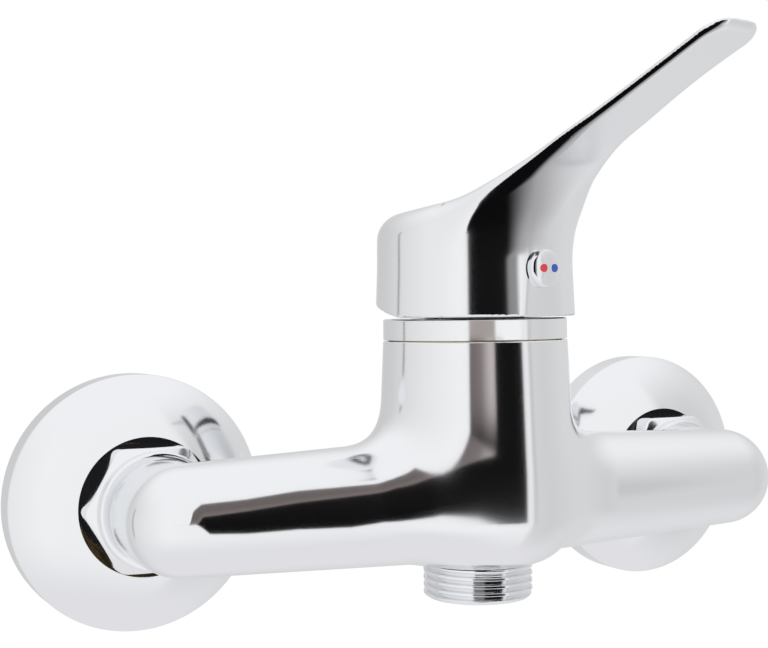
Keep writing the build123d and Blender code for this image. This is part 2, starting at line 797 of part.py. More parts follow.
# Handle: the flare between cup and lever widens with height, and the side outline trims it all.
# The blend starts a little below the rim, and the rim is cut afterwards.
with BuildPart() as handle:
    with BuildSketch(turned_level(handle_start)) as low_plan:
        draw_plan(low_plan, nose_half_width, flare_radius_low)
    with BuildSketch(turned_level(lever_blend_top)) as high_plan:
        draw_plan(high_plan, lever_root_half_width, flare_radius_high)
    loft(ruled=True)
    with BuildSketch(turned_level(lever_blend_top)) as lever_plan:
        draw_plan(lever_plan, lever_root_half_width, flare_radius_high)
    extrude(amount=lever_tip_height - lever_blend_top)
    with BuildSketch(side_plane):
        with BuildLine():
            face = (handle_face_reach, handle_face_top)
            back = (-handle_radius - margin, handle_back_top - margin * crown_slope)
            top = Line(back, (crown_reach, crown_height))
            neck = TangentArc(top @ 1, bend_point, tangent=top % 1)
            lever_top = TangentArc(neck @ 1, tip_point, tangent=rise_direction)
            tip = Line(lever_top @ 1, lower_tip_point)
            lever_under = TangentArc(lower_bend_point, tip @ 1, tangent=rise_direction)
            front = Spline(face, lower_bend_point, tangents=((0, 1), rise_direction))
            Polyline(face, (handle_face_reach, handle_start), (back[0], handle_start), back)
        make_face()
    extrude(amount=handle_radius + margin, both=True, mode=Mode.INTERSECT)
    upper_edges = handle.edges().filter_by(lambda edge: edge.center().Z > handle_bottom + margin)
    fillet(upper_edges, handle_edge)

    # Rim, cut level in front and higher behind, so that the cup can tip over the trim ring
    with BuildSketch(turned_level(handle_bottom)):
        Circle(2 * handle_radius)
    extrude(amount=-2 * handle_surplus, mode=Mode.SUBTRACT)
    with BuildSketch(side_plane):
        with BuildLine():
            relief_height = handle_bottom + 2 * handle_radius * tan(radians(relief_angle))
            Polyline(
                (0, handle_bottom),
                (-2 * handle_radius, relief_height),
                (-2 * handle_radius, handle_bottom - margin),
                (0, handle_bottom - margin),
                close=True,
            )
        make_face()
    extrude(amount=2 * handle_radius, both=True, mode=Mode.SUBTRACT)

    # Cavity, with a boss for the spindle and a web from the boss to the front wall
    with BuildSketch(side_plane):
        with BuildLine():
            Polyline(
                (0, handle_bottom - margin),
                (handle_bore, handle_bottom - margin),
                (handle_bore, handle_face_top),
                (handle_bore_top, handle_roof),
                (0, handle_roof),
                close=True,
            )
        make_face()
    revolve(axis=tower_axis, mode=Mode.SUBTRACT)
    with BuildSketch(turned_level(boss_bottom)):
        Circle(boss_radius)
        with Locations((handle_bore / 2, 0)):
            Rectangle(handle_bore, web_width)
    extrude(amount=handle_roof - boss_bottom)
    with BuildSketch(spindle_plane):
        socket_width = spindle_width + 2 * socket_clearance
        Rectangle(socket_width, socket_width)
    extrude(amount=spindle_top_reach + socket_clearance, mode=Mode.SUBTRACT)

    # Seat for the index plug, and the threaded hole for the grub screw behind it
    with BuildSketch(plug_plane.offset(plug_seat_reach)):
        Circle(plug_radius + plug_clearance)
    extrude(amount=plug_rim + plug_dome, mode=Mode.SUBTRACT)
    with BuildSketch(plug_plane.offset(plug_seat_reach)):
        Circle(plug_shank_radius + plug_clearance)
    extrude(amount=-plug_shank_length - plug_clearance, mode=Mode.SUBTRACT)
    with BuildSketch(plug_plane.offset(plug_seat_reach)):
        Circle(screw_radius + screw_clearance)
    extrude(amount=-plug_seat_reach, mode=Mode.SUBTRACT)
save(handle, "handle")

# Grub screw: a cup point on the spindle and a hexagon socket behind the plug
with BuildPart() as set_screw:
    with BuildSketch(plug_plane.offset(screw_start)):
        Circle(screw_radius)
    extrude(amount=screw_length)
    screw_point = set_screw.faces().sort_by(handle_axis)[0].edges()
    chamfer(screw_point, screw_point_chamfer)
    with BuildSketch(plug_plane.offset(screw_start + screw_length)):
        RegularPolygon(screw_socket_flats / 2, 6, major_radius=False)
    extrude(amount=-screw_socket_depth, mode=Mode.SUBTRACT)
save(set_screw, "set_screw")

# Index plug: a domed button with a shank, and two recesses for the dots
with BuildPart() as index_plug:
    with BuildSketch(side_plane):
        with BuildLine():
            rim = Polyline(
                (plug_seat_reach - plug_shank_length, plug_height),
                (plug_seat_reach - plug_shank_length, plug_height + plug_shank_radius),
                (plug_seat_reach, plug_height + plug_shank_radius),
                (plug_seat_reach, plug_height + plug_radius),
                (plug_front, plug_height + plug_radius),
            )
            ThreePointArc(rim @ 1, plug_dome_middle, (plug_front + plug_dome, plug_height))
            Line((plug_front + plug_dome, plug_height), rim @ 0)
        make_face()
    revolve(axis=plug_axis)
    plug_rims = index_plug.edges().filter_by(GeomType.CIRCLE).filter_by(
        lambda edge: abs(edge.radius - plug_radius) < tolerance
    )
    fillet(plug_rims.sort_by(plug_axis)[-1], plug_edge)
    with BuildSketch(plug_plane.offset(plug_front + plug_dome)):
        with Locations((0, -dot_spacing / 2), (0, dot_spacing / 2)):
            Circle(dot_radius)
    extrude(amount=-dot_depth, mode=Mode.SUBTRACT)
save(index_plug, "index_plug")

# Temperature dots: hot on the left, cold on the right
for label, sign in (("hot_dot", -1), ("cold_dot", 1)):
    with BuildPart() as dot:
        with BuildSketch(plug_plane.offset(plug_front + plug_dome - dot_depth)):
            with Locations((0, sign * dot_spacing / 2)):
                Circle(dot_radius)
        extrude(amount=dot_depth + dot_height - plug_dome_drop)
    save(dot, label)

# Outlet nipple: plugs into the casting and carries the hose thread
with BuildPart() as outlet_nipple:
    with BuildSketch(level(tower_bottom)):
        Circle(nipple_plug_radius)
    extrude(amount=nipple_plug_length)
    with BuildSketch(level(tower_bottom)):
        Circle(outlet_thread_radius)
    extrude(amount=-outlet_length)
    chamfer(outlet_nipple.edges().group_by(Axis.Z)[0], thread_chamfer)
    with BuildSketch(level(outlet_bottom)):
        Circle(nipple_bore)
    extrude(amount=valve_top + valve_recess - outlet_bottom, mode=Mode.SUBTRACT)
    with BuildSketch(level(nipple_top)):
        Circle(nipple_top_bore)
    extrude(amount=outlet_bottom - nipple_top, mode=Mode.SUBTRACT)
save(outlet_nipple, "outlet_nipple")

# Flat seal around the nipple, in the casting's counterbore
with BuildPart() as nipple_seal:
    with BuildSketch(level(tower_bottom)):
        Circle(nipple_plug_radius + nipple_clearance + nipple_seal_wall)
        Circle(nipple_plug_radius, mode=Mode.SUBTRACT)
    extrude(amount=nipple_seal_thickness)
save(nipple_seal, "nipple_seal")

# Non-return valve in the nipple: housing with a seat above and a guide for the stem below
with BuildPart() as check_valve_housing:
    with BuildSketch(Plane.XZ.offset(body_offset)):
        ring(valve_bore, valve_radius, valve_bottom, valve_top)
        ring(valve_seat_radius, valve_radius, valve_seat, valve_top)
        with Locations((valve_radius, valve_seal_height)):
            Rectangle(2 * valve_seal_groove, 2 * valve_seal_radius, mode=Mode.SUBTRACT)
    revolve(axis=tower_axis)
    with BuildSketch(level(valve_guide_low)):
        Circle(valve_guide_radius)
        with PolarLocations(valve_bore / 2, valve_spokes):
            Rectangle(valve_bore, valve_spoke_width)
        Circle(valve_stem_radius + valve_stem_clearance, mode=Mode.SUBTRACT)
    extrude(amount=valve_guide_height)
save(check_valve_housing, "check_valve_housing")

# Poppet: a head under the seat on a stem through the guide
with BuildPart() as check_valve_poppet:
    with BuildSketch(level(poppet_top)):
        Circle(valve_head_radius)
    extrude(amount=-valve_head_thickness)
    with BuildSketch(level(poppet_top - valve_head_thickness)):
        Circle(valve_stem_radius)
    extrude(amount=poppet_end - poppet_top + valve_head_thickness)
save(check_valve_poppet, "check_valve_poppet")

# Valve spring between the guide and the poppet's head
with BuildPart() as check_valve_spring:
    with BuildLine() as coil:
        Helix(
            pitch=(spring_top - spring_bottom) / valve_spring_turns,
            height=spring_top - spring_bottom,
            radius=valve_spring_radius,
            center=(0, -body_offset, spring_bottom),
        )
    with BuildSketch(Plane(origin=coil.line @ 0, z_dir=coil.line % 0)):
        Circle(valve_spring_wire)
    sweep(path=coil.line)
save(check_valve_spring, "check_valve_spring")

# Seal around the valve housing
with BuildPart() as check_valve_seal:
    with BuildSketch(Plane.XZ.offset(body_offset)):
        with Locations((nipple_bore - seal_clearance - valve_seal_radius, valve_seal_height)):
            Circle(valve_seal_radius)
    revolve(axis=tower_axis)
save(check_valve_seal, "check_valve_seal")
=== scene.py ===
"""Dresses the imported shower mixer: smooth shells, hose and pipe threads, finishes, stage and camera."""

import json
from math import asin, atan2, cos, degrees, hypot, pi, radians, sin, tan

import bmesh
import bpy
import numpy as np
from mathutils import Matrix, Vector


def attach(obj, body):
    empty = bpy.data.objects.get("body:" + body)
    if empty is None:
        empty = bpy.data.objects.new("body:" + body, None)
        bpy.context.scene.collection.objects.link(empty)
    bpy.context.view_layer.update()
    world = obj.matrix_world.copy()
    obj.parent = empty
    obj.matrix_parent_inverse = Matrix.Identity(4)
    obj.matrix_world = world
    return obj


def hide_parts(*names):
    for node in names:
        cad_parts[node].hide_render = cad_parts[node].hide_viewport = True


bl_info = {
    "name": "Shower Mixer",
    "version": (1, 0, 0),
    "blender": (4, 5, 0),
    "location": "3D View > Sidebar > Mixer",
    "description": "Dresses a wall-mounted single-lever shower mixer in chrome",
    "category": "Object",
}

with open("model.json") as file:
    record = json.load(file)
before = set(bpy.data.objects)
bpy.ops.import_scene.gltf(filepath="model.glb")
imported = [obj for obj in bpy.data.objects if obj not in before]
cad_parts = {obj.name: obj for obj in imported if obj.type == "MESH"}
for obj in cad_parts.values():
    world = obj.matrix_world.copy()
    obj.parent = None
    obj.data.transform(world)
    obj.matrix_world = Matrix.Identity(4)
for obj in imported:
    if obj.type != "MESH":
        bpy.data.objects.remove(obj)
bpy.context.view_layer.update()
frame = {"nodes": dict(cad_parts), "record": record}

MM = 0.001
PER_METRE = 1000.0

# Places that the pieces share, in millimetres: the tower's axis, the inlets and the turn of the handle
TOWER_Y = -41.0
INLET_X = 75.0
HANDLE_TURN = radians(12.0)
FORWARD = np.array([sin(HANDLE_TURN), -cos(HANDLE_TURN), 0.0])
ACROSS = np.array([cos(HANDLE_TURN), sin(HANDLE_TURN), 0.0])

# Radius of the three-quarter inch and the half inch pipe thread over the crests
THREE_QUARTER = 13.22
HALF = 10.48

# Brightness of the studio's walls, by degrees from straight ahead, and of the wall on the right at eye level
WALLS = [(-180, 0.64), (-150, 0.69), (-125, 0.8), (-87, 0.91), (-47, 1.0), (-41, 1.0), (33, 0.97),
         (40, 0.74), (60, 0.7), (96, 0.76), (150, 0.72), (180, 0.64)]
EYE_LEVEL = [(-180, 0.63), (33, 0.9), (36, 1.0), (39.5, 0.56), (46, 0.54), (58, 0.58), (75, 0.66),
             (96, 0.73), (150, 0.64), (180, 0.57)]

# The curtain in the painted reflection of the dark doorway: its shade by the place across, in millimetres
CURTAIN = [(-267, (0.075, 0.058, 0.062)), (-260, (0.075, 0.058, 0.062)), (-230, (0.178, 0.148, 0.145)),
           (-152, (0.25, 0.215, 0.205)), (-78, (0.6, 0.54, 0.53)), (-48, (0.55, 0.49, 0.48)),
           (-38, (0.01, 0.006, 0.006))]

# The painted reflection of the doorway in millimetres, by the place along the fitting that mirrors it: the
# height of the curtain's hem, how far the doorway reaches down and how far up
HEM = [(-80, 0), (-75.2, 0), (-74, 84), (-64, 110), (-52, 165), (-40, 190), (-28.5, 215), (-19.5, 150),
       (20, 150)]
SILL = [(-80, 0), (-75.5, 0), (-74, 60), (-72.5, 135), (-64, 172), (-52, 168), (-40, 195), (-28.5, 140),
        (-19.5, 76), (-12, 68), (0, 80), (20, 110)]
LINTEL = [(-80, 0), (-77, 0), (-76, 170), (-74, 285), (-64, 300), (-52, 390), (20, 390)]

# Near black of the painted dark reflections on the doorway and threshold cards
NIGHT = (0.004, 0.0035, 0.004)


def length(name, default, description):
    """A size in millimetres as a property of the add-on."""
    return bpy.props.FloatProperty(
        name=name, default=default * MM, description=description, subtype="DISTANCE", unit="LENGTH",
        precision=5,
    )


def colour(name, default, description):
    """A linear colour as a property of the add-on."""
    return bpy.props.FloatVectorProperty(
        name=name, default=default, description=description, subtype="COLOR", size=3, min=0.0, max=1.0
    )


class MixerBodySizes(bpy.types.PropertyGroup):
    """Sizes of the casting, the wall covers and the nuts."""

    tower_top_radius: length("Tower top radius", 22.3, "Radius of the tower where the trim ring sits")
    tower_radius: length("Tower radius", 23.8, "Radius of the tower at the height of the arms")
    tower_top: length("Tower top", 38.2, "Height of the tower's rim above the inlet axes")
    tower_bottom: length("Tower bottom", -15.6, "Height of the tower's flat foot")
    tower_round: length("Foot rounding", 12.0, "Radius between the tower's side and its foot")
    arm_root_radius: length("Arm root radius", 15.4, "Radius of an arm at the tower's axis")
    arm_end_radius: length("Arm end radius", 12.5, "Radius of an arm at the inlet's axis")
    arm_blend: length("Arm blend", 9.4, "Width of the blend between arm and tower")
    leg_end: length("Leg end", -26.3, "Depth at which the leg's full width ends")
    cover_radius: length("Cover radius", 31.0, "Outer radius of a wall cover")
    cover_skirt: length("Cover skirt", 7.6, "Depth of the cover's straight skirt")
    cover_depth: length("Cover depth", 16.2, "Depth of the cover at the nut")
    cover_wall: length("Cover wall", 0.9, "Thickness of the cover's sheet")
    nut_flats: length("Nut flats", 29.0, "Width of a union nut across its flats")
    nut_corner_radius: length("Nut corner radius", 16.2, "Radius to which the nut's corners are turned")


class MixerHandleSizes(bpy.types.PropertyGroup):
    """Sizes of the handle, the index plug and the trim ring."""

    cup_radius: length("Cup radius", 24.2, "Radius of the handle's cup at its rim")
    cup_draft: length("Cup draft", 1.0, "How much smaller the cup's radius is at its crown")
    rim_height: length("Rim height", 43.8, "Height of the cup's rim in front")
    lever_reach: length("Lever reach", 80.3, "Reach of the lever's tip from the tower's axis")
    tip_corner: length("Tip corner", 5.5, "Radius of the lever's two tip corners")
    crown_round: length("Crown rounding", 5.5, "Rounding between the cup's side and its crown")
    lever_edge: length("Lever edge", 0.9, "Rounding of the lever's edges")
    shoulder_angle: bpy.props.FloatProperty(
        name="Shoulder angle", default=radians(67.0), description="Angle at which the shoulders close in",
        subtype="ANGLE", unit="ROTATION",
    )
    plug_radius: length("Plug radius", 4.6, "Radius of the index plug")
    ring_radius: length("Ring radius", 22.25, "Outer radius of the trim ring")


class MixerFinishes(bpy.types.PropertyGroup):
    """Colours of the finishes and of the stage."""

    chrome: colour("Chrome", (0.93, 0.925, 0.93), "Reflection colour of the polished chrome")
    # The brass is darkened far below turned brass: painted shade for the wall unions seen through the covers'
    # holes
    brass: colour("Brass", (0.09, 0.075, 0.05), "Reflection colour of the turned brass")
    steel: colour("Steel", (0.56, 0.57, 0.58), "Reflection colour of the steel parts")
    rubber: colour("Rubber", (0.025, 0.025, 0.027), "Colour of the seals")
    ceramic: colour("Ceramic", (0.86, 0.84, 0.79), "Colour of the ceramic discs")
    plastic: colour("Plastic", (0.66, 0.66, 0.63), "Colour of the cartridge's housing")
    guide: colour("Guide plastic", (0.82, 0.82, 0.79), "Colour of the sliding parts")
    hot: colour("Hot dot", (0.58, 0.012, 0.022), "Colour of the hot dot")
    cold: colour("Cold dot", (0.004, 0.032, 0.31), "Colour of the cold dot")
    floor: colour("Floor", (0.93, 0.93, 0.935), "Colour of the floor")


# Shader expressions


class Value:
    """A socket that takes part in Python expressions."""

    def __init__(self, shader, socket):
        self.shader = shader
        self.socket = socket

    def __add__(self, other):
        return self.shader.maths("ADD", self, other)

    def __sub__(self, other):
        return self.shader.maths("SUBTRACT", self, other)

    def __rsub__(self, other):
        return self.shader.maths("SUBTRACT", other, self)

    def __mul__(self, other):
        return self.shader.maths("MULTIPLY", self, other)

    def __truediv__(self, other):
        return self.shader.maths("DIVIDE", self, other)

    def __rtruediv__(self, other):
        return self.shader.maths("DIVIDE", other, self)

    def __neg__(self):
        return 0.0 - self

    __radd__ = __add__
    __rmul__ = __mul__


class Shader:
    """Builds one node tree, for a material or for the world."""

    def __init__(self, tree):
        self.tree = tree
        tree.nodes.clear()

    def node(self, kind, settings=None, sockets=None):
        """Add a node: its settings first, then the values or links of its sockets."""
        made = self.tree.nodes.new(kind)
        for name, value in (settings or {}).items():
            if name == "stops":
                ramp = made.color_ramp
                while len(ramp.elements) < len(value):
                    ramp.elements.new(0.5)
                for element, (place, shade) in zip(ramp.elements, value):
                    element.position = place
                    element.color = (*shade, 1.0)
            else:
                setattr(made, name, value)
        for name, value in (sockets or {}).items():
            socket = made.inputs[name]
            if isinstance(value, Value):
                self.tree.links.new(value.socket, socket)
            elif hasattr(value, "__len__") and len(value) == 3 and socket.type == "RGBA":
                socket.default_value = (*value, 1.0)
            else:
                socket.default_value = value
        return made

    def out(self, made, name=0):
        """One output of a node as a value."""
        return Value(self, made.outputs[name])

    def maths(self, operation, *values):
        """A Math node on sockets and numbers."""
        sockets = dict(enumerate(values))
        return self.out(self.node("ShaderNodeMath", {"operation": operation}, sockets))

    def step(self, value, low, high):
        """A smooth step of a value from 0 at low to 1 at high."""
        ramp = self.node(
            "ShaderNodeMapRange",
            {"interpolation_type": "SMOOTHSTEP"},
            {"Value": value, "From Min": low, "From Max": high},
        )
        return self.out(ramp, "Result")

    def band(self, value, low, high, soft):
        """1 between low and high, with soft edges."""
        rise = self.step(value, low - soft, low + soft)
        return rise - self.step(value, high - soft, high + soft)

    def mix(self, factor, first, second):
        """A mix of two colours."""
        made = self.node("ShaderNodeMix", {"data_type": "RGBA"}, {"Factor": factor, 6: first, 7: second})
        return self.out(made, 2)

    def greatest(self, first, *others):
        """The greatest of some values."""
        for other in others:
            first = self.maths("MAXIMUM", first, other)
        return first

    def ramp(self, factor, stops):
        """A colour that follows stops (place from 0 to 1, shade)."""
        return self.out(self.node("ShaderNodeValToRGB", {"stops": stops}, {"Fac": factor}), "Color")

    def parts(self, vector):
        """The three parts of a vector."""
        split = self.node("ShaderNodeSeparateXYZ", None, {"Vector": vector})
        return tuple(self.out(split, name) for name in "XYZ")

    def place(self, space="Object"):
        """The place in the object's own space, or in another one, in three parts."""
        return self.parts(self.out(self.node("ShaderNodeTexCoord"), space))

    def noise(self, scale, detail=2.0, stretch=(1.0, 1.0, 1.0)):
        """Noise in the object's own space, scaled in millimetres."""
        place = self.out(self.node("ShaderNodeTexCoord"), "Object")
        spread = self.out(self.node("ShaderNodeMapping", None, {"Vector": place, "Scale": stretch}))
        sockets = {"Vector": spread, "Scale": 1.0 / (scale * MM), "Detail": detail}
        return self.out(self.node("ShaderNodeTexNoise", None, sockets), "Fac")

    def light(self, shade, strength=1.0):
        """A surface that shines by itself."""
        return self.out(self.node("ShaderNodeEmission", None, {"Color": shade, "Strength": strength}))

    def clear(self):
        """A surface that isn't there."""
        return self.out(self.node("ShaderNodeBsdfTransparent"))

    def turned_away(self):
        """1 where a face is seen from behind."""
        return self.out(self.node("ShaderNodeNewGeometry"), "Backfacing")

    def cover(self, factor, first, second):
        """End the tree with a mix of two surfaces."""
        mixed = self.node("ShaderNodeMixShader", None, {0: factor, 1: first, 2: second})
        self.node("ShaderNodeOutputMaterial", None, {"Surface": self.out(mixed)})


def blank(name):
    """A new material and the shader that fills it."""
    material = bpy.data.materials.new(name)
    material.use_nodes = True
    return material, Shader(material.node_tree)


def surface(name, base, roughness, bump, bump_mm, metallic=0.0, coat=0.0, shine=0.5):
    """Make a material. Its base, roughness and bump are functions of the shader."""
    _, shader = blank(name)
    sockets = {
        "Base Color": base(shader),
        "Roughness": roughness(shader),
        "Metallic": metallic,
        "Coat Weight": coat,
        "Specular IOR Level": shine,
    }
    relief = {"Strength": 1.0, "Distance": bump_mm * MM, "Height": bump(shader)}
    sockets["Normal"] = shader.out(shader.node("ShaderNodeBump", None, relief), "Normal")
    bsdf = shader.node("ShaderNodeBsdfPrincipled", None, sockets)
    shader.node("ShaderNodeOutputMaterial", None, {"Surface": shader.out(bsdf, "BSDF")})


def make_finishes(finishes):
    """Make all the finishes, named as the record's material slots are."""

    def tinted(shade, size, share):
        darker = tuple(channel * (1.0 - share) for channel in shade)
        return lambda s: s.mix(s.step(s.noise(size, 3.0), 0.35, 0.65), tuple(shade), darker)

    def polished(s):
        smear = s.step(s.noise(9.0, 4.0, (1.0, 1.0, 2.2)), 0.5, 0.75)
        return 0.022 + 0.02 * smear + 0.012 * s.noise(1.6, 2.0)

    surface("chrome", tinted(finishes.chrome, 14.0, 0.015), polished, lambda s: s.noise(11.0, 1.0), 0.035, 1.0)

    # Slot, shade, darker patches (size, share), roughness (least, span, noise), relief (depth, noise), the rest
    drawn, brushed = (1.0, 1.0, 8.0), (1.0, 1.0, 6.0)
    for slot, shade, patches, (least, span, *grain), (depth, *relief), rest in (
        ("brass", finishes.brass, (3.0, 0.18), (0.2, 0.14, 0.8, 3.0), (0.012, 0.35), {"metallic": 1.0}),
        ("steel", finishes.steel, (2.0, 0.12), (0.24, 0.16, 0.5, 3.0, drawn), (0.008, 0.3, 2.0, brushed),
         {"metallic": 1.0}),
        ("rubber", finishes.rubber, (1.5, 0.3), (0.62, 0.2, 0.6), (0.02, 0.25), {}),
        ("washer_rubber", (0.05, 0.05, 0.055), (1.0, 0.35), (0.7, 0.2, 0.4), (0.03, 0.2, 3.0), {}),
        ("ceramic", finishes.ceramic, (1.2, 0.04), (0.16, 0.1, 1.0), (0.004, 0.4), {"coat": 0.3}),
        ("housing_plastic", finishes.plastic, (5.0, 0.06), (0.42, 0.16, 0.5), (0.015, 0.3), {}),
        ("guide_plastic", finishes.guide, (4.0, 0.05), (0.34, 0.14, 0.5), (0.01, 0.3), {}),
        ("hot_red", finishes.hot, (0.5, 0.2), (0.3, 0.12, 0.3), (0.01, 0.4), {"shine": 0.15}),
        ("cold_blue", finishes.cold, (0.5, 0.2), (0.3, 0.12, 0.3), (0.01, 0.4), {"shine": 0.15}),
    ):
        surface(
            slot, tinted(shade, *patches), lambda s: least + span * s.noise(*grain),
            lambda s: s.noise(*relief), depth, **rest,
        )


# Mesh making, in millimetres


def add_piece(name, points, faces, finish, body, nodes, normals=None, sharp=None):
    """Make an object from a mesh in millimetres, give it its finish and seat it in the frame."""
    mesh = bpy.data.meshes.new(name)
    mesh.from_pydata((np.asarray(points) * MM).tolist(), [], [list(face) for face in faces])
    mesh.validate()
    mesh.shade_smooth()
    if normals is not None:
        mesh.normals_split_custom_set_from_vertices(np.asarray(normals).tolist())
    elif sharp is not None:
        mesh.set_sharp_from_angle(angle=sharp)
    mesh.materials.append(bpy.data.materials[finish])
    piece = bpy.data.objects.new(name, mesh)
    bpy.context.scene.collection.objects.link(piece)
    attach(piece, body)
    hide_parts(*nodes)


def rounded(corners, steps=6):
    """A line through corners (x, y, radius), each rounded by its radius."""
    points = []
    last = len(corners) - 1
    for i, (x, y, radius) in enumerate(corners):
        if radius == 0 or i in (0, last):
            points.append((x, y))
            continue
        here = Vector((x, y))
        before = (Vector(corners[i - 1][:2]) - here).normalized()
        after = (Vector(corners[i + 1][:2]) - here).normalized()
        half = before.angle(after) / 2
        reach = radius / tan(half)
        centre = here + (before + after).normalized() * (radius / sin(half))
        start = here + before * reach - centre
        turn = start.angle_signed(here + after * reach - centre)
        for k in range(steps + 1):
            arm = start.copy()
            arm.rotate(Matrix.Rotation(-turn * k / steps, 2))
            points.append(tuple(centre + arm))
    return points


def ring_mesh(rows, origin, axis, side, segments, closed=True):
    """Points and faces of rings along an axis. A row is (radius or radii, height or heights)."""
    angles = np.arange(segments) * 2 * pi / segments
    axis = np.asarray(axis, float)
    side = np.asarray(side, float)
    other = np.cross(axis, side)
    spokes = np.outer(np.cos(angles), side) + np.outer(np.sin(angles), other)
    points = []
    for radius, height in rows:
        reach = np.broadcast_to(radius, segments)[:, None]
        rise = np.broadcast_to(height, segments)[:, None]
        points.append(np.asarray(origin) + spokes * reach + rise * axis)
    points = np.concatenate(points)
    count = len(rows)
    faces = []
    for i in range(count if closed else count - 1):
        low, high = i * segments, ((i + 1) % count) * segments
        for k in range(segments):
            turn = (k + 1) % segments
            faces.append((low + k, high + k, high + turn, low + turn))
    if not closed:
        faces.append(tuple(range(segments)))
        faces.append(tuple(range(len(points) - 1, len(points) - 1 - segments, -1)))
    return points, faces


def on_wall(rows, x, z, segments):
    """Rings about a line that stands out from the wall at x and z."""
    return ring_mesh(rows, (x, 0, z), (0, -1, 0), (0, 0, 1), segments)


def add_pair(shape, node, finish, sharp, make):
    """Add the left and the right one of a piece, which a function makes at an inlet's x."""
    for side, x in (("left", -INLET_X), ("right", INLET_X)):
        points, faces = make(x)
        add_piece(f"{side}_{shape}_shell", points, faces, finish, "mixer", [f"{side}_{node}"], sharp=sharp)


def joined(*meshes):
    """Several meshes as one list of points and one of faces."""
    points, faces, start = [], [], 0
    for some_points, some_faces in meshes:
        points.append(some_points)
        faces += [tuple(index + start for index in face) for face in some_faces]
        start += len(some_points)
    return np.concatenate(points), faces


def round_max(first, second, radius):
    """Two half spaces intersected, with their edge rounded by a radius."""
    a, b = first + radius, second + radius
    return np.hypot(np.maximum(a, 0), np.maximum(b, 0)) + np.minimum(np.maximum(a, b), 0) - radius


def soft_min(first, second, width):
    """Two solids joined, with a soft blend of this width."""
    overlap = np.maximum(width - np.abs(first - second), 0) / width
    return np.minimum(first, second) - overlap**2 * width / 4


def ease(value, low, high):
    """A smooth step from 0 at low to 1 at high."""
    t = np.clip((value - low) / (high - low), 0, 1)
    return t * t * (3 - 2 * t)


class Curve:
    """A smooth curve y(x) through knots, straight beyond its ends."""

    def __init__(self, knots):
        self.x, self.y = np.array(knots, float).T
        step = np.diff(self.x)
        rise = np.diff(self.y) / step
        count = len(self.x)
        system = np.eye(count)
        right = np.zeros(count)
        for i in range(1, count - 1):
            system[i, i - 1 : i + 2] = step[i - 1], 2 * (step[i - 1] + step[i]), step[i]
            right[i] = 6 * (rise[i] - rise[i - 1])
        self.bend = np.linalg.solve(system, right)
        self.step, self.rise = step, rise

    def __call__(self, x):
        """Height and slope at x."""
        inside = np.clip(x, self.x[0], self.x[-1])
        i = np.clip(np.searchsorted(self.x, inside) - 1, 0, len(self.step) - 1)
        t = inside - self.x[i]
        step, near, far = self.step[i], self.bend[i], self.bend[i + 1]
        slope = self.rise[i] - step * (2 * near + far) / 6
        height = self.y[i] + t * (slope + t * (near / 2 + t * (far - near) / (6 * step)))
        slope = slope + t * (near + t * (far - near) / (2 * step))
        return height + slope * (x - inside), slope


def gradient(field, points, reach=0.02):
    """The field's gradient at some points."""
    result = np.empty_like(points)
    for axis in range(3):
        offset = np.zeros(3)
        offset[axis] = reach
        result[:, axis] = (field(points + offset) - field(points - offset)) / (2 * reach)
    return result


def skin(field, low, high, step):
    """Points, faces and normals of the surface where a field is zero. The grid's step sets how fine it is."""
    axes = [np.arange(a, b + step, step) for a, b in zip(low, high)]
    shape = tuple(len(axis) for axis in axes)
    inside = np.empty(shape, bool)
    for i, x in enumerate(axes[0]):
        sheet = np.stack(np.meshgrid([x], axes[1], axes[2], indexing="ij"), axis=-1)
        inside[i] = field(sheet.reshape(-1, 3)).reshape(shape[1:]) < 0
    count = np.zeros([n - 1 for n in shape], np.int8)
    for corner in np.ndindex(2, 2, 2):
        count += inside[tuple(slice(c, n - 1 + c) for c, n in zip(corner, shape))]
    active = (count > 0) & (count < 8)
    index = np.full(active.shape, -1)
    index[active] = np.arange(active.sum())
    points = np.array(low) + (np.argwhere(active) + 0.5) * step
    quads = []
    for axis in range(3):
        u, v = np.eye(3, dtype=int)[(axis + 1) % 3], np.eye(3, dtype=int)[(axis + 2) % 3]
        near = np.take(inside, range(shape[axis] - 1), axis)
        far = np.take(inside, range(1, shape[axis]), axis)
        for flip, crossing in ((False, near & ~far), (True, ~near & far)):
            at = np.argwhere(crossing)
            cells = [index[tuple((at - shift).T)] for shift in (0 * u, u, u + v, v)]
            quad = np.stack(cells, axis=1)
            quads.append(quad[:, ::-1] if flip else quad)
    quads = np.concatenate(quads)
    kept, moved, least = 0.4, 0.6, 0.1
    for sweep in range(6):
        if sweep in (1, 2, 3):
            total = np.zeros_like(points)
            hits = np.zeros(len(points))
            for k in range(4):
                for other in (quads[:, k - 1], quads[:, (k + 1) % 4]):
                    np.add.at(total, quads[:, k], points[other])
                    np.add.at(hits, quads[:, k], 1)
            points = kept * points + moved * total / hits[:, None]
        slope = gradient(field, points)
        size = np.maximum((slope**2).sum(axis=1), least)
        points = points - slope * np.clip(field(points) / size, -step, step)[:, None]
    slope = gradient(field, points)
    return points, quads, slope / np.linalg.norm(slope, axis=1)[:, None]


def in_mm(sizes, *names):
    """Some sizes of the add-on, in millimetres."""
    return [getattr(sizes, name) / MM for name in names]


# Pieces


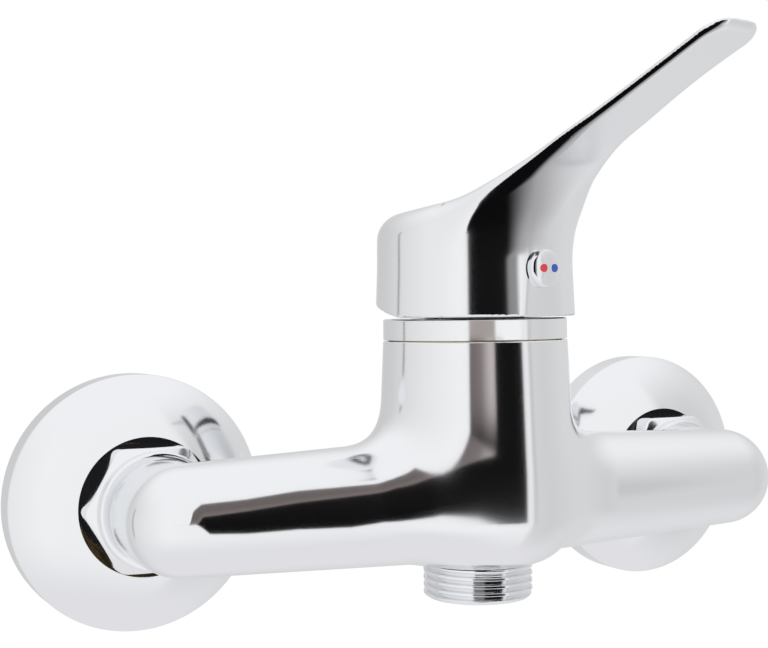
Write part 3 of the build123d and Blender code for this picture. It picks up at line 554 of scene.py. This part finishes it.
class MixerCasting(bpy.types.Operator):
    """Make the body casting: a round tower that flows into an arm to each inlet"""

    bl_idname = "mixer.casting"
    bl_label = "Body Casting"

    def execute(self, context):
        sizes = context.scene.mixer_body
        top_radius, radius, top = in_mm(sizes, "tower_top_radius", "tower_radius", "tower_top")
        bottom, foot, leg_end = in_mm(sizes, "tower_bottom", "tower_round", "leg_end")
        root, end, blend = in_mm(sizes, "arm_root_radius", "arm_end_radius", "arm_blend")
        taper_start, rim, cut_height, cut_depth = 8.0, 2.0, top - 0.8, leg_end - 3.4
        least_blend, crease, elbow_blend, valve_way, way_top = 2.0, 0.05, 5.0, 6.2, -9.0
        lean = (root - end) / INLET_X
        upright = (1 - lean**2) ** 0.5

        def field(points):
            x, y, z = np.abs(points[:, 0]), points[:, 1] - TOWER_Y, points[:, 2]
            reach = np.hypot(x, y)
            side = radius - (radius - top_radius) * np.maximum(z - taper_start, 0) / (top - taper_start)
            tower = np.maximum(round_max(reach - side, bottom - z, foot), z - top - rim)
            off = np.hypot(y, z)
            along = upright * x - lean * off
            cone = upright * off + lean * x - root
            ball = np.hypot(x - INLET_X, off) - end
            arm = np.where(along < 0, np.hypot(x, off) - root, np.where(along > upright * INLET_X, ball, cone))
            round_off = np.hypot(x - INLET_X, z) - end
            leg = np.maximum(round_off, np.maximum(-y, points[:, 1] - leg_end - rim))
            inner = ((INLET_X - x) + y) / 2**0.5
            arm = soft_min(arm, leg, crease + elbow_blend * ease(inner, 6.0, 15.0))
            width = least_blend + blend * ease(z, bottom + 1.0, bottom + 12.0)
            outlet = np.maximum(reach - valve_way, z - way_top)
            return np.maximum(soft_min(tower, arm, width), -outlet)

        margin = 1.5
        low = (-INLET_X - end - margin, TOWER_Y - radius - margin, bottom - 2 * margin)
        high = (INLET_X + end + margin, TOWER_Y + radius + margin, top + rim + margin)
        points, quads, _ = skin(field, low, high, 0.8)
        mesh = bmesh.new()
        vertices = [mesh.verts.new(p) for p in points.tolist()]
        for quad in quads.tolist():
            mesh.faces.new([vertices[i] for i in quad])
        self.cut(mesh, mesh.faces[:], (0, 0, cut_height), (0, 0, 1))
        for sign in (-1, 1):
            leg_faces = [f for f in mesh.faces if sign * f.calc_center_median().x > INLET_X - end - 6.0]
            self.cut(mesh, leg_faces, (0, cut_depth, 0), (0, 1, 0))
        chamber = [(top_radius + 0.02, top - 0.3), (top_radius - 0.14, top - 0.1), (21.1, top - 0.1),
                   (21.1, top - 1.2), (19.9, top - 1.2), (19.9, 30.0), (17.8, 30.0), (17.8, 9.0), (4.2, 9.0)]
        self.line_mouth(mesh, (0, TOWER_Y, 0), (0, 0, 1), cut_height, chamber)
        tail = rounded([(end, cut_depth, 0), (end, leg_end, 2.9), (9.9, leg_end, 0)])[1:]
        tail += [(9.9, -22.4), (9.1, -22.4), (9.1, -21.2), (9.9, -21.2), (9.9, -20.0), (6.5, -20.0),
                 (6.5, TOWER_Y)]
        for sign in (-1, 1):
            self.line_mouth(mesh, (sign * INLET_X, 0, 0), (0, 1, 0), cut_depth, tail)
        mesh.normal_update()
        bmesh.ops.recalc_face_normals(mesh, faces=mesh.faces[:])
        points, faces = self.in_order(mesh)
        mesh.free()
        add_piece("body_shell", points, faces, "chrome", "mixer", ["body_casting"], sharp=radians(30))
        return {"FINISHED"}

    def in_order(self, mesh):
        """Points and faces in an order that is the same on each run."""
        mesh.verts.index_update()
        points = np.array([v.co[:] for v in mesh.verts])
        order = np.lexsort(points.T)
        place = np.argsort(order).tolist()
        faces = []
        for face in mesh.faces:
            ring = [place[v.index] for v in face.verts]
            start = ring.index(min(ring))
            faces.append(ring[start:] + ring[:start])
        return points[order], sorted(faces)

    def cut(self, mesh, faces, place, direction):
        """Remove what lies beyond a plane."""
        whole = {item for face in faces for item in (face, *face.edges, *face.verts)}
        bmesh.ops.bisect_plane(
            mesh, geom=list(whole), plane_co=place, plane_no=direction, clear_outer=True, dist=1e-5
        )

    def line_mouth(self, mesh, centre, axis, height, profile):
        """Carry an open round mouth on through rings (radius, height) and close the last one."""
        centre, axis, within, least_edges = Vector(centre), Vector(axis), 60, 12
        edges = []
        for edge in mesh.edges:
            middle = (edge.verts[0].co + edge.verts[1].co) / 2 - centre
            if edge.is_boundary and abs(middle.dot(axis) - height) < 0.01 and middle.length < within:
                edges.append(edge)
        if len(edges) < least_edges:
            raise RuntimeError("the mouth has no open edges")
        for radius, rise in profile:
            grown = bmesh.ops.extrude_edge_only(mesh, edges=edges)["geom"]
            edges = [item for item in grown if isinstance(item, bmesh.types.BMEdge)]
            for vertex in {v for e in edges for v in e.verts}:
                arm = vertex.co - centre
                arm -= axis * arm.dot(axis)
                vertex.co = centre + arm.normalized() * radius + axis * rise
        bmesh.ops.holes_fill(mesh, edges=edges)


class MixerHandle(bpy.types.Operator):
    """Make the handle: a cup with a soft crown and a flat lever that rises from its front"""

    bl_idname = "mixer.handle"
    bl_label = "Handle"

    def execute(self, context):
        sizes = context.scene.mixer_handle
        cup_radius, draft, rim, reach = in_mm(sizes, "cup_radius", "cup_draft", "rim_height", "lever_reach")
        corner, crown, edge = in_mm(sizes, "tip_corner", "crown_round", "lever_edge")
        shoulder = sizes.shoulder_angle
        top_line = Curve([(-24.2, 68.9), (-14, 69.4), (-4, 70.05), (5, 70.95), (14, 72.6), (22, 75.8),
                          (30, 79.5), (37, 82.95), (45, 86.6), (53, 90.35), (61, 94.15), (69, 97.8),
                          (76, 100.85), (83, 103.7)])
        flare_line = Curve([(40, 0), (50, 0), (54, 0), (58, 0.12), (61, 0.5), (64, 1.15), (67, 2.25),
                            (70, 4.1), (73, 6.8), (76, 10.4), (79, 15.2), (82, 21.5), (85, 29), (92, 46)])
        face_line = Curve([(40, 23.7), (50, 23.7), (56, 23.75), (60, 24.0), (64, 24.9), (68, 26.3),
                           (72, 28.7), (75, 31.3), (78, 34.8), (80, 37.7), (82.4, 41.6), (85.6, 47.8),
                           (89.3, 55.3), (93.3, 63.7), (97.3, 72.6), (101.3, 82.0), (105.8, 92.7)])
        strip = Curve([(20, 9.4), (30, 9.4), (38, 9.2), (45, 8.9), (50, 8.5), (55, 8.1), (60, 7.8),
                       (66, 7.65), (73, 7.75), (83, 8.1)])
        relief, rim_round, crown_height, crown_end = radians(12.0), 0.45, 69.0, 44.0
        lever_root, root_blend, face_blend, bow = 20.0, 4.0, 0.6, 0.0035
        roof, boss_bottom, boss_radius, web = 65.0, 50.8, 8.0, 6.0
        bore_radius, bore_taper, bore_top, taper_height = 22.6, 1.8, 53.0, 12.0

        def field(points):
            from_axis = points - (0, TOWER_Y, 0)
            r, w, z = from_axis @ FORWARD, np.abs(from_axis @ ACROSS), points[:, 2]
            radial = np.hypot(r, w)
            cup_wall = cup_radius - draft * (z - rim) / (crown_height - rim)
            cup = radial - cup_wall
            side = r * cos(shoulder) + w * sin(shoulder) - cup_wall
            beside = w * cos(shoulder) - r * sin(shoulder)
            wedge = np.maximum(side, beside)
            width, _ = strip(r)
            lever = np.maximum(w - width, lever_root - r)
            plan = soft_min(np.minimum(cup, wedge), lever, root_blend)
            plan = round_max(plan, r - reach, corner)
            more, slant = flare_line(z)
            flare = (radial - cup_wall - more) / np.sqrt(1 + slant**2)
            along, slant = face_line(z)
            front = -soft_min(-flare, -(r - along) / np.sqrt(1 + slant**2), face_blend)
            softness = 0.7 + 2.6 * ease(z, 67.0, 76.0) - 1.5 * ease(z, 80.0, 87.0)
            outer = -soft_min(-plan, -front, softness)
            height, slope = top_line(r)
            drop = bow * w**2 * (1 - 0.6 * ease(r, 15.0, 45.0))
            top = (z - height + drop) / np.sqrt(1 + slope**2)
            outer = round_max(top, outer, edge + (crown - edge) * (1 - ease(r, 0.0, crown_end)))
            cut = np.maximum(rim - z, (rim - r * tan(relief) - z) * cos(relief))
            outer = round_max(outer, cut, rim_round)
            bore = bore_radius - bore_taper * np.clip((z - bore_top) / taper_height, 0, 1)
            boss = np.minimum(radial - boss_radius, np.maximum(w - web, -r))
            cavity = np.maximum(np.maximum(radial - bore, z - roof), -np.maximum(boss_bottom - z, boss))
            return round_max(outer, -cavity, rim_round)

        tip = np.array([0, TOWER_Y, 0]) + FORWARD * reach
        low = (-26.0, tip[1] - 4.0, rim - 1.5)
        high = (max(26.0, tip[0] + 10.0), TOWER_Y + 26.0, 104.5)
        points, quads, normals = skin(field, low, high, 0.5)
        add_piece("handle_shell", points, quads, "chrome", "lever", ["handle"], normals=normals)
        return {"FINISHED"}


class MixerTrimRing(bpy.types.Operator):
    """Make the trim ring between the casting and the handle"""

    bl_idname = "mixer.trim_ring"
    bl_label = "Trim Ring"

    def execute(self, context):
        radius, = in_mm(context.scene.mixer_handle, "ring_radius")
        inner, low, high, hole = radius - 1.1, 38.38, 43.4, 16.4
        corners = [(inner, low, 0), (radius - 0.12, low, 0.08), (radius, low + 0.12, 0), (radius, high, 0.5),
                   (hole, high, 0.3), (hole, high - 1.1, 0), (inner, high - 1.1, 0.4), (inner, low, 0)]
        rows = rounded(corners)[:-1]
        points, faces = ring_mesh(rows, (0, TOWER_Y, 0), (0, 0, 1), (1, 0, 0), 256)
        add_piece("trim_ring_shell", points, faces, "chrome", "mixer", ["trim_ring"], sharp=radians(35))
        return {"FINISHED"}


class MixerIndexPlug(bpy.types.Operator):
    """Make the domed index plug in the front of the handle"""

    bl_idname = "mixer.index_plug"
    bl_label = "Index Plug"

    def execute(self, context):
        radius, = in_mm(context.scene.mixer_handle, "plug_radius")
        seat, front, dome, shank, height, tiny, rings = 22.8, 25.0, 0.8, 3.2, 54.8, 0.01, 13
        sphere = (radius**2 + dome**2) / (2 * dome)
        corners = [(tiny, seat - 3.6, 0), (shank, seat - 3.6, 0.4), (shank, seat, 0.1), (radius, seat, 0.15),
                   (radius, front, 1.1)]
        rim_point = radius * 0.72
        corners.append((rim_point, front + dome - sphere + (sphere**2 - rim_point**2) ** 0.5, 0))
        rows = rounded(corners)
        for k in range(1, rings + 1):
            reach = rim_point * (1 - k / rings) + tiny
            rows.append((reach, front + dome - sphere + (sphere**2 - reach**2) ** 0.5))
        points, faces = ring_mesh(rows, (0, TOWER_Y, height), FORWARD, (0, 0, 1), 128, closed=False)
        add_piece("index_plug_shell", points, faces, "chrome", "lever", ["index_plug"], sharp=radians(35))
        return {"FINISHED"}


class MixerUnionNuts(bpy.types.Operator):
    """Make the two union nuts with turned corners and a round collar"""

    bl_idname = "mixer.union_nuts"
    bl_label = "Union Nuts"

    def execute(self, context):
        flats, corner = in_mm(context.scene.mixer_body, "nut_flats", "nut_corner_radius")
        segments, ring_step, edge_round = 288, 0.35, 0.5
        angles = np.arange(segments) * 2 * pi / segments
        hexagon = flats / 2 / np.cos((angles + pi / 6) % (pi / 3) - pi / 6)
        outline = rounded([(13.3, 9.5, 0), (14.6, 9.5, 0), (corner, 10.4, 0.6), (corner, 21.4, 0.5),
                           (13.8, 22.8, 0.25), (13.8, 25.6, 0.6), (10.1, 25.6, 0.3), (10.1, 22.5, 0),
                           (13.3, 22.5, 0)], 8)
        rows = []
        for (r0, y0), (r1, y1) in zip(outline, outline[1:] + outline[:1]):
            parts = max(1, round(hypot(r1 - r0, y1 - y0) / ring_step))
            for k in range(parts):
                radius = r0 + (r1 - r0) * k / parts
                rows.append((soft_min(radius, hexagon, edge_round), y0 + (y1 - y0) * k / parts))
        add_pair("union_nut", "union_nut", "chrome", radians(40), lambda x: on_wall(rows, x, 0.0, segments))
        return {"FINISHED"}


class MixerWallCovers(bpy.types.Operator):
    """Make the two domed wall covers"""

    bl_idname = "mixer.wall_covers"
    bl_label = "Wall Covers"

    def execute(self, context):
        radius, skirt, depth, wall = in_mm(
            context.scene.mixer_body, "cover_radius", "cover_skirt", "cover_depth", "cover_wall"
        )
        hole, dome = 16.55, 30.0
        rows = rounded([(radius - wall, 0.05, 0), (radius - 0.25, 0.0, 0.2), (radius, 0.3, 0.2)])
        outer = self.dome_line(radius, skirt, hole, depth, dome)
        rows += self.soften([(radius, 1.0), (radius, skirt - 2.0), *outer], skirt)
        rows += [(hole, depth - 0.12), (hole, depth - wall)]
        rows += self.dome_line(radius - wall, skirt, hole, depth - wall, dome)[::-1][1:]
        add_pair("cover", "escutcheon", "chrome", radians(32), lambda x: on_wall(rows, x, 0.0, 320))
        return {"FINISHED"}

    def dome_line(self, radius, skirt, hole, depth, dome, steps=40):
        """The dome's arc from the skirt to the hole."""
        start, end = Vector((radius, skirt)), Vector((hole, depth))
        middle = (start + end) / 2
        chord = end - start
        sag = (dome**2 - (chord.length / 2) ** 2) ** 0.5
        centre = middle + Vector((-chord.y, chord.x)).normalized() * sag
        first = atan2(start.y - centre.y, start.x - centre.x)
        last = atan2(end.y - centre.y, end.x - centre.x)
        turns = [first + (last - first) * k / steps for k in range(steps + 1)]
        return [(centre.x + dome * cos(t), centre.y + dome * sin(t)) for t in turns]

    def soften(self, line, skirt):
        """Round the corner between skirt and dome, in place of the dome's first points."""
        corner = next(i for i, (_, y) in enumerate(line) if abs(y - skirt) < 1e-6)
        radius, end = 1.1, corner + 3
        arc = rounded([(*line[corner - 1], 0), (*line[corner], radius), (*line[end], 0)], 8)[1:-1]
        return [*line[:corner], *arc, *line[end:]]


class MixerOutlet(bpy.types.Operator):
    """Make the outlet nipple with its hose thread"""

    bl_idname = "mixer.outlet"
    bl_label = "Outlet Nipple"

    def execute(self, context):
        segments = 160
        rows = threaded(THREE_QUARTER, -15.75, -24.0, segments)
        inner = [(8.3, -24.0), (8.0, -23.7), (8.0, -11.2), (6.5, -11.2), (6.5, -8.8), (11.0, -8.8),
                 (11.0, -15.6), (12.2, -15.6)]
        points, faces = ring_mesh(rows + inner, (0, TOWER_Y, 0), (0, 0, 1), (1, 0, 0), segments)
        add_piece(
            "outlet_nipple_shell", points, faces, "chrome", "mixer", ["outlet_nipple"], sharp=radians(50)
        )
        return {"FINISHED"}


class MixerWallUnions(bpy.types.Operator):
    """Make the two eccentric wall unions with both their threads"""

    bl_idname = "mixer.wall_unions"
    bl_label = "Wall Unions"

    def execute(self, context):
        segments, drop = 128, 10.0
        front = threaded(THREE_QUARTER, 5.2, 18.0, segments)
        front += [(9.2, 18.0), (9.0, 17.8), (9.0, 2.2), (9.5, 2.0), (12.0, 2.0), (12.0, 4.9)]
        tail = [(radius, -height) for radius, height in threaded(HALF, -1.2, 16.0, segments)]
        tail += [(7.2, -16.0), (7.0, -15.8), (7.0, -3.0), (9.0, -3.0)]
        angles = np.arange(segments) * 2 * pi / segments
        hull = self.hull(angles, 14.0, 12.0, drop)
        block = [(hull - 0.4, 1.0), (hull, 1.4), (hull, 4.6), (hull - 0.4, 5.0), (hull * 0.5, 5.0),
                 (hull * 0.5, 1.0)]
        add_pair("wall_union", "wall_union", "brass", radians(50), lambda x: joined(
            on_wall(front, x, 0.0, segments), on_wall(tail, x, -drop, segments),
            on_wall(block, x, -drop / 2, segments),
        ))
        return {"FINISHED"}

    def hull(self, angles, upper, lower, drop):
        """Reach of the outline round two circles, from the point midway between their centres."""
        spokes = np.stack([np.cos(angles), np.sin(angles)], axis=1)
        tilt = asin((upper - lower) / drop)
        tangents, level = 721, 1e-3
        reach = np.full(len(angles), np.inf)
        for turn in np.linspace(-pi, pi, tangents):
            flat = np.array([cos(turn), sin(turn)])
            centre, radius = (drop / 2, upper) if abs(turn) < pi / 2 + tilt else (-drop / 2, lower)
            limit = centre * flat[0] + radius
            facing = spokes @ flat
            reach = np.where(facing > level, np.minimum(reach, limit / np.maximum(facing, level)), reach)
        return reach


def threaded(radius, start, end, segments, pitch=1.814, depth=1.05, lead=0.6, chamfer=0.9):
    """Rows of a right-handed pipe thread, 14 turns to the inch, from start to end. It runs out at both."""
    angles = np.arange(segments) * 2 * pi / segments
    sign = 1 if end > start else -1
    span = abs(end - start)
    root, rings_per_turn = 0.08, 16
    rows = []
    for along in np.arange(0, span + 1e-6, pitch / rings_per_turn):
        phase = (along / pitch + sign * angles / (2 * pi)) % 1.0
        wave = np.clip(1.35 - 2.7 * np.abs(phase - 0.5), root, 1.0)
        crest = 0.5 - 0.5 * np.cos(np.clip((wave - root) / (1.0 - root), 0, 1) * pi)
        cut = depth * (1 - crest)
        fade = min(1.0, along / lead)
        bevel = max(0.0, chamfer - (span - along))
        reach = radius - np.maximum(cut * (0.6 + 0.4 * fade), bevel)
        rows.append((reach, start + sign * along))
    return rows


class MixerHiddenParts(bpy.types.Operator):
    """Give the parts that keep their own shape their finishes"""

    bl_idname = "mixer.hidden_parts"
    bl_label = "Inner Parts and Dots"

    def execute(self, context):
        slots = {entry["node"]: entry["material_slot"] for entry in frame["record"]["subparts"]}
        for name, node in frame["nodes"].items():
            node.data.materials.clear()
            node.data.materials.append(bpy.data.materials[slots[name]])
        return {"FINISHED"}


class MixerStage(bpy.types.Operator):
    """Set the floor, the soft light and the camera"""

    bl_idname = "mixer.stage"
    bl_label = "Stage"

    def execute(self, context):
        self.add_floor(context)
        self.add_world(context)
        self.add_painted_doorway_reflection(context)
        self.add_threshold(context)
        self.add_painted_shade_discs(context)
        self.add_lamp(context)
        self.add_camera(context)
        context.scene.view_settings.view_transform = "Standard"
        return {"FINISHED"}

    def add_floor(self, context):
        """A wide pale floor that the camera sees as near white, with the object's shadow."""
        half, height, whiteness, strength = 6.0, -0.11, 0.95, 1.015
        corners = [(-half, -half, height), (half, -half, height), (half, half, height), (-half, half, height)]
        mesh, shader = self.sheet("floor", corners)
        tone = tuple(context.scene.mixer_finishes.floor)
        matt = shader.out(shader.node("ShaderNodeBsdfDiffuse", None, {"Color": tone}))
        path = shader.node("ShaderNodeLightPath")
        rays = ("Is Camera Ray", "Is Glossy Ray", "Is Transmission Ray")
        seen = shader.greatest(*(shader.out(path, ray) for ray in rays))
        sockets = {0: seen * whiteness, 1: matt, 2: shader.light((1.0, 1.0, 1.0), strength)}
        top = shader.out(shader.node("ShaderNodeMixShader", None, sockets))
        shader.cover(shader.turned_away(), top, shader.clear())
        floor = bpy.data.objects.new("floor", mesh)
        floor.visible_glossy = False
        context.scene.collection.objects.link(floor)

    def add_world(self, context):
        """Soft even light; mirrors also see the studio's grey walls, its ceiling and the wall on the right."""
        world = bpy.data.worlds.new("studio")
        world.use_nodes = True
        shader = Shader(world.node_tree)
        x, y, z = shader.place("Generated")
        around = shader.maths("ARCTAN2", x, -y) * degrees(1.0)
        rise = shader.maths("ARCSINE", z) * degrees(1.0)
        ceiling, low_room = (1.0, 0.995, 1.0), (0.86, 0.85, 0.865)
        slit, grey = (0.02, 0.02, 0.02), (0.74, 0.74, 0.74)
        room = shader.mix(shader.step(rise, 12.0, 60.0), self.panorama(shader, around, WALLS), ceiling)
        room = shader.mix(shader.step(-rise, 20.0, 65.0), room, low_room)
        level = shader.band(rise, -14.0, 14.0, 14.0) * shader.band(around, 24.0, 42.0, 3.0)
        room = shader.mix(level, room, self.panorama(shader, around, EYE_LEVEL))
        seam = shader.band(around, -129.4, -127.0, 0.5) * shader.band(rise, -20.0, 13.0, 4.0) * 0.8
        room = shader.mix(seam, room, slit)
        path = shader.node("ShaderNodeLightPath")
        mirror = shader.greatest(shader.out(path, "Is Glossy Ray"), shader.out(path, "Is Transmission Ray"))
        seen = shader.mix(shader.out(path, "Is Camera Ray"), grey, (1.0, 1.0, 1.0))
        sockets = {"Color": shader.mix(mirror, seen, room), "Strength": 1.0}
        background = shader.out(shader.node("ShaderNodeBackground", None, sockets))
        shader.node("ShaderNodeOutputWorld", None, {"Surface": background})
        context.scene.world = world

    def panorama(self, shader, around, stops):
        """Grey walls round the horizon, from stops (degrees, brightness)."""
        return shader.ramp((around + 180.0) / 360.0, [((a + 180) / 360, (v, v, v)) for a, v in stops])

    def add_painted_doorway_reflection(self, context):
        """Painted reflections of a dark doorway beside the camera, on a glowing card. What it shows depends on
        the place that mirrors it.
        """
        left, right, low, high, depth = -0.3, 0.22, -0.24, 0.4, -0.4
        corners = [(left, depth, low), (right, depth, low), (right, depth, high), (left, depth, high)]
        mesh, shader = self.sheet("doorway", corners)
        x, _, z = shader.place()
        x, z = x * PER_METRE, z * PER_METRE

        # The place that mirrors it, which picks the painted reflection: in front of the covers, above the arms,
        # ring, handle or outlet
        from_x, from_y, from_z, _ = self.mirror_point(shader)
        front = 1.0 - shader.step(from_y, -17.6, -16.8)
        tower = shader.step(from_z, 7.0, 13.0)
        ring = shader.band(from_z, 38.2, 43.2, 0.1)
        handle = shader.step(from_z, 43.3, 43.5)
        outlet = 1.0 - shader.step(from_z, -18.2, -17.2)

        # The doorway's opening, which is wider for the outlet
        hem = self.profile(shader, from_x, HEM)
        opening = shader.step(x, -272.0, -262.0) * (1.0 - shader.step(x, 183.0, 194.0))
        opening = opening * shader.step(z + self.profile(shader, from_x, SILL), -4.0, 4.0)
        opening = opening * (1.0 - shader.step(z - self.profile(shader, from_x, LINTEL), -12.0, 6.0))
        opening = shader.greatest(opening, outlet * shader.band(x, -330.0, 190.0, 4.0))

        # Painted reflection of the curtain above its hem, lit from the side where the tower mirrors it
        brown, dark_brown, grey_brown = (0.23, 0.195, 0.18), (0.15, 0.13, 0.125), (0.42, 0.37, 0.355)
        lit_side, start, width = 1.0 - shader.step(x, -39.0, -35.0), -267, 240
        hem_line = hem * (1.0 - tower) + (24.0 + 400.0 * (1.0 - lit_side)) * tower
        draped = shader.step(z - hem_line, -4.0, 4.0)
        folds = shader.ramp((x - start) / width, [((v - start) / width, shade) for v, shade in CURTAIN])
        plain = shader.mix(shader.step(z - hem, 0.0, 70.0), brown, dark_brown)
        cloth = shader.mix(tower * lit_side, plain, folds)
        shade = shader.mix(draped, NIGHT, cloth)

        # What the ring, the handle and the outlet mirror: painted reflections for these parts alone
        mark = shader.band(z, 31.5, 35.0, 0.8) * shader.band(x, -34.0, 24.0, 5.0)
        panel = shader.mix(mark, (1.0, 1.0, 1.0), (0.03, 0.03, 0.03))
        bright = shader.mix(shader.step(z, 30.0, 38.0), cloth, grey_brown)
        shade = shader.mix(ring, shade, shader.mix(lit_side, panel, bright))
        post = shader.mix(shader.step(x, 108.0, 150.0), (0.29, 0.28, 0.285), (1.0, 1.0, 1.0))
        shade = shader.mix(handle, shade, shader.mix(shader.step(x, 26.0, 62.0), NIGHT, post))
        below = shader.mix(shader.step(x, -110.0, -90.0), (0.2, 0.19, 0.19), (0.01, 0.01, 0.01))
        shade = shader.mix(outlet, shade, below)
        shader.cover(opening * front, shader.clear(), shader.light(shade))
        self.stand("doorway", mesh, context)

    def add_threshold(self, context):
        """Painted reflection of a dark floor in front of the doorway, on a glowing card which only the handle
        above it mirrors.
        """
        left, right, near, far, level = -0.42, 0.2, -0.066, -0.9, 0.0555
        corners = [(left, far, level), (right, far, level), (right, near, level), (left, near, level)]
        mesh, shader = self.sheet("threshold", corners)
        x, y, _ = shader.place()
        x, y = x * PER_METRE, y * PER_METRE
        _, _, from_z, bearing = self.mirror_point(shader)
        lean = shader.maths("POWER", shader.greatest(from_z - 62.0, 0.0), 1.4)
        left_edge = shader.step(bearing + 36.0 + 1.8 * lean, -1.5, 1.5)
        past_right = x + 1.0 + 0.14 * (y + 80.0)
        seen = left_edge * (1.0 - shader.turned_away()) * (1.0 - shader.step(past_right, 12.0, 40.0))
        # Near black and grey: the painted dark band that the handle mirrors
        shade = shader.mix(shader.step(past_right, -2.0, 14.0), NIGHT, (0.42, 0.41, 0.415))
        shader.cover(seen, shader.clear(), shader.light(shade))
        self.stand("threshold", mesh, context)

    def add_painted_shade_discs(self, context):
        """Painted shade: a dark glowing disc behind each cover, seen only from the front through the cover's
        hole, where the cavity would lie in shade.
        """
        radius, depth, corners = 0.0285, -0.0004, 48
        turns = [2 * pi * k / corners for k in range(corners)]
        points = [
            (x * MM + radius * cos(t), depth, radius * sin(t)) for x in (-INLET_X, INLET_X) for t in turns
        ]
        mesh, shader = self.sheet("recesses", points, [range(corners), range(corners, 2 * corners)])
        # The discs glow near black: painted shade inside the covers' cavities
        shader.cover(shader.turned_away(), shader.light((0.01, 0.01, 0.011)), shader.clear())
        recesses = bpy.data.objects.new("recesses", mesh)
        recesses.visible_diffuse = False
        recesses.visible_shadow = False
        context.scene.collection.objects.link(recesses)

    def sheet(self, name, points, faces=((0, 1, 2, 3),)):
        """A flat mesh of the stage with a material of its own, and the shader that fills it."""
        mesh = bpy.data.meshes.new(name)
        mesh.from_pydata(points, [], faces)
        material, shader = blank(name)
        mesh.materials.append(material)
        return mesh, shader

    def stand(self, name, mesh, context):
        """Put a glowing card in the studio that only polished surfaces see, for painted reflections."""
        card = bpy.data.objects.new(name, mesh)
        card.visible_camera = False
        card.visible_diffuse = False
        card.visible_transmission = False
        card.visible_shadow = False
        context.scene.collection.objects.link(card)

    def mirror_point(self, shader):
        """Where the mirrored ray left the metal, in millimetres, and its bearing in degrees."""
        geometry = shader.node("ShaderNodeNewGeometry")
        back = shader.parts(shader.out(geometry, "Incoming"))
        here = shader.parts(shader.out(geometry, "Position"))
        reach = shader.out(shader.node("ShaderNodeLightPath"), "Ray Length")
        point = [(at + towards * reach) * PER_METRE for at, towards in zip(here, back)]
        return (*point, shader.maths("ARCTAN2", -back[0], back[1]) * degrees(1.0))

    def profile(self, shader, value, stops):
        """A length that follows stops (place, length) along the fitting, both in millimetres."""
        start, span, longest = -80, 100, 400
        greys = [((at - start) / span, (v / longest,) * 3) for at, v in stops]
        grey = shader.ramp((value - start) / span, greys)
        split = shader.node("ShaderNodeSeparateColor", None, {"Color": grey})
        return shader.out(split, "Red") * longest

    def add_lamp(self, context):
        """A large soft lamp above and to the left."""
        data = bpy.data.lights.new("soft_lamp", "AREA")
        data.shape = "SQUARE"
        data.size = 0.9
        data.energy = 5.5
        lamp = bpy.data.objects.new("soft_lamp", data)
        lamp.location = (-0.55, -0.6, 1.0)
        lamp.rotation_euler = (-Vector(lamp.location)).to_track_quat("-Z", "Y").to_euler()
        lamp.visible_glossy = False
        context.scene.collection.objects.link(lamp)

    def add_camera(self, context):
        """The camera at the photograph's angle."""
        yaw, pitch, roll, place = radians(26.25), radians(0.74), radians(0.77), (-0.16916, -0.3342, 0.04662)
        focal_length, photo_width = 1389.59, 768
        ahead = Vector((sin(yaw) * cos(pitch), cos(yaw) * cos(pitch), -sin(pitch)))
        right = Vector((cos(yaw), -sin(yaw), 0.0))
        down = ahead.cross(right)
        across = cos(roll) * right + sin(roll) * down
        up = -(-sin(roll) * right + cos(roll) * down)
        data = bpy.data.cameras.new("camera")
        data.sensor_width = 36.0
        data.lens = focal_length / photo_width * data.sensor_width
        data.clip_start, data.clip_end = 0.01, 50.0
        camera = bpy.data.objects.new("camera", data)
        turn = Matrix((across, up, -ahead)).transposed()
        camera.matrix_world = Matrix.Translation(place) @ turn.to_4x4()
        context.scene.collection.objects.link(camera)
        context.scene.camera = camera


class MixerPanel(bpy.types.Panel):
    """Sizes, colours and pieces of the mixer"""

    bl_idname = "VIEW3D_PT_mixer"
    bl_label = "Shower Mixer"
    bl_space_type = "VIEW_3D"
    bl_region_type = "UI"
    bl_category = "Mixer"

    def draw(self, context):
        for group in (context.scene.mixer_body, context.scene.mixer_handle, context.scene.mixer_finishes):
            box = self.layout.box()
            for name in group.__annotations__:
                box.prop(group, name)
        for operator in OPERATORS:
            self.layout.operator(operator.bl_idname)


GROUPS = {"mixer_body": MixerBodySizes, "mixer_handle": MixerHandleSizes, "mixer_finishes": MixerFinishes}
OPERATORS = [
    MixerHiddenParts, MixerCasting, MixerHandle, MixerTrimRing, MixerIndexPlug, MixerUnionNuts, MixerWallCovers,
    MixerOutlet, MixerWallUnions, MixerStage,
]


def register():
    """Register the classes and hang the sizes on the scene."""
    for cls in (*GROUPS.values(), *OPERATORS, MixerPanel):
        bpy.utils.register_class(cls)
    for name, group in GROUPS.items():
        setattr(bpy.types.Scene, name, bpy.props.PointerProperty(type=group))


def unregister():
    """Take the classes and the sizes away again."""
    for name in GROUPS:
        delattr(bpy.types.Scene, name)
    for cls in reversed((*GROUPS.values(), *OPERATORS, MixerPanel)):
        bpy.utils.unregister_class(cls)


def main():
    """Dress the mixer, piece by piece."""
    register()
    make_finishes(bpy.context.scene.mixer_finishes)
    for operator in OPERATORS:
        family, name = operator.bl_idname.split(".")
        getattr(getattr(bpy.ops, family), name)()


if __name__ == "__main__":
    main()
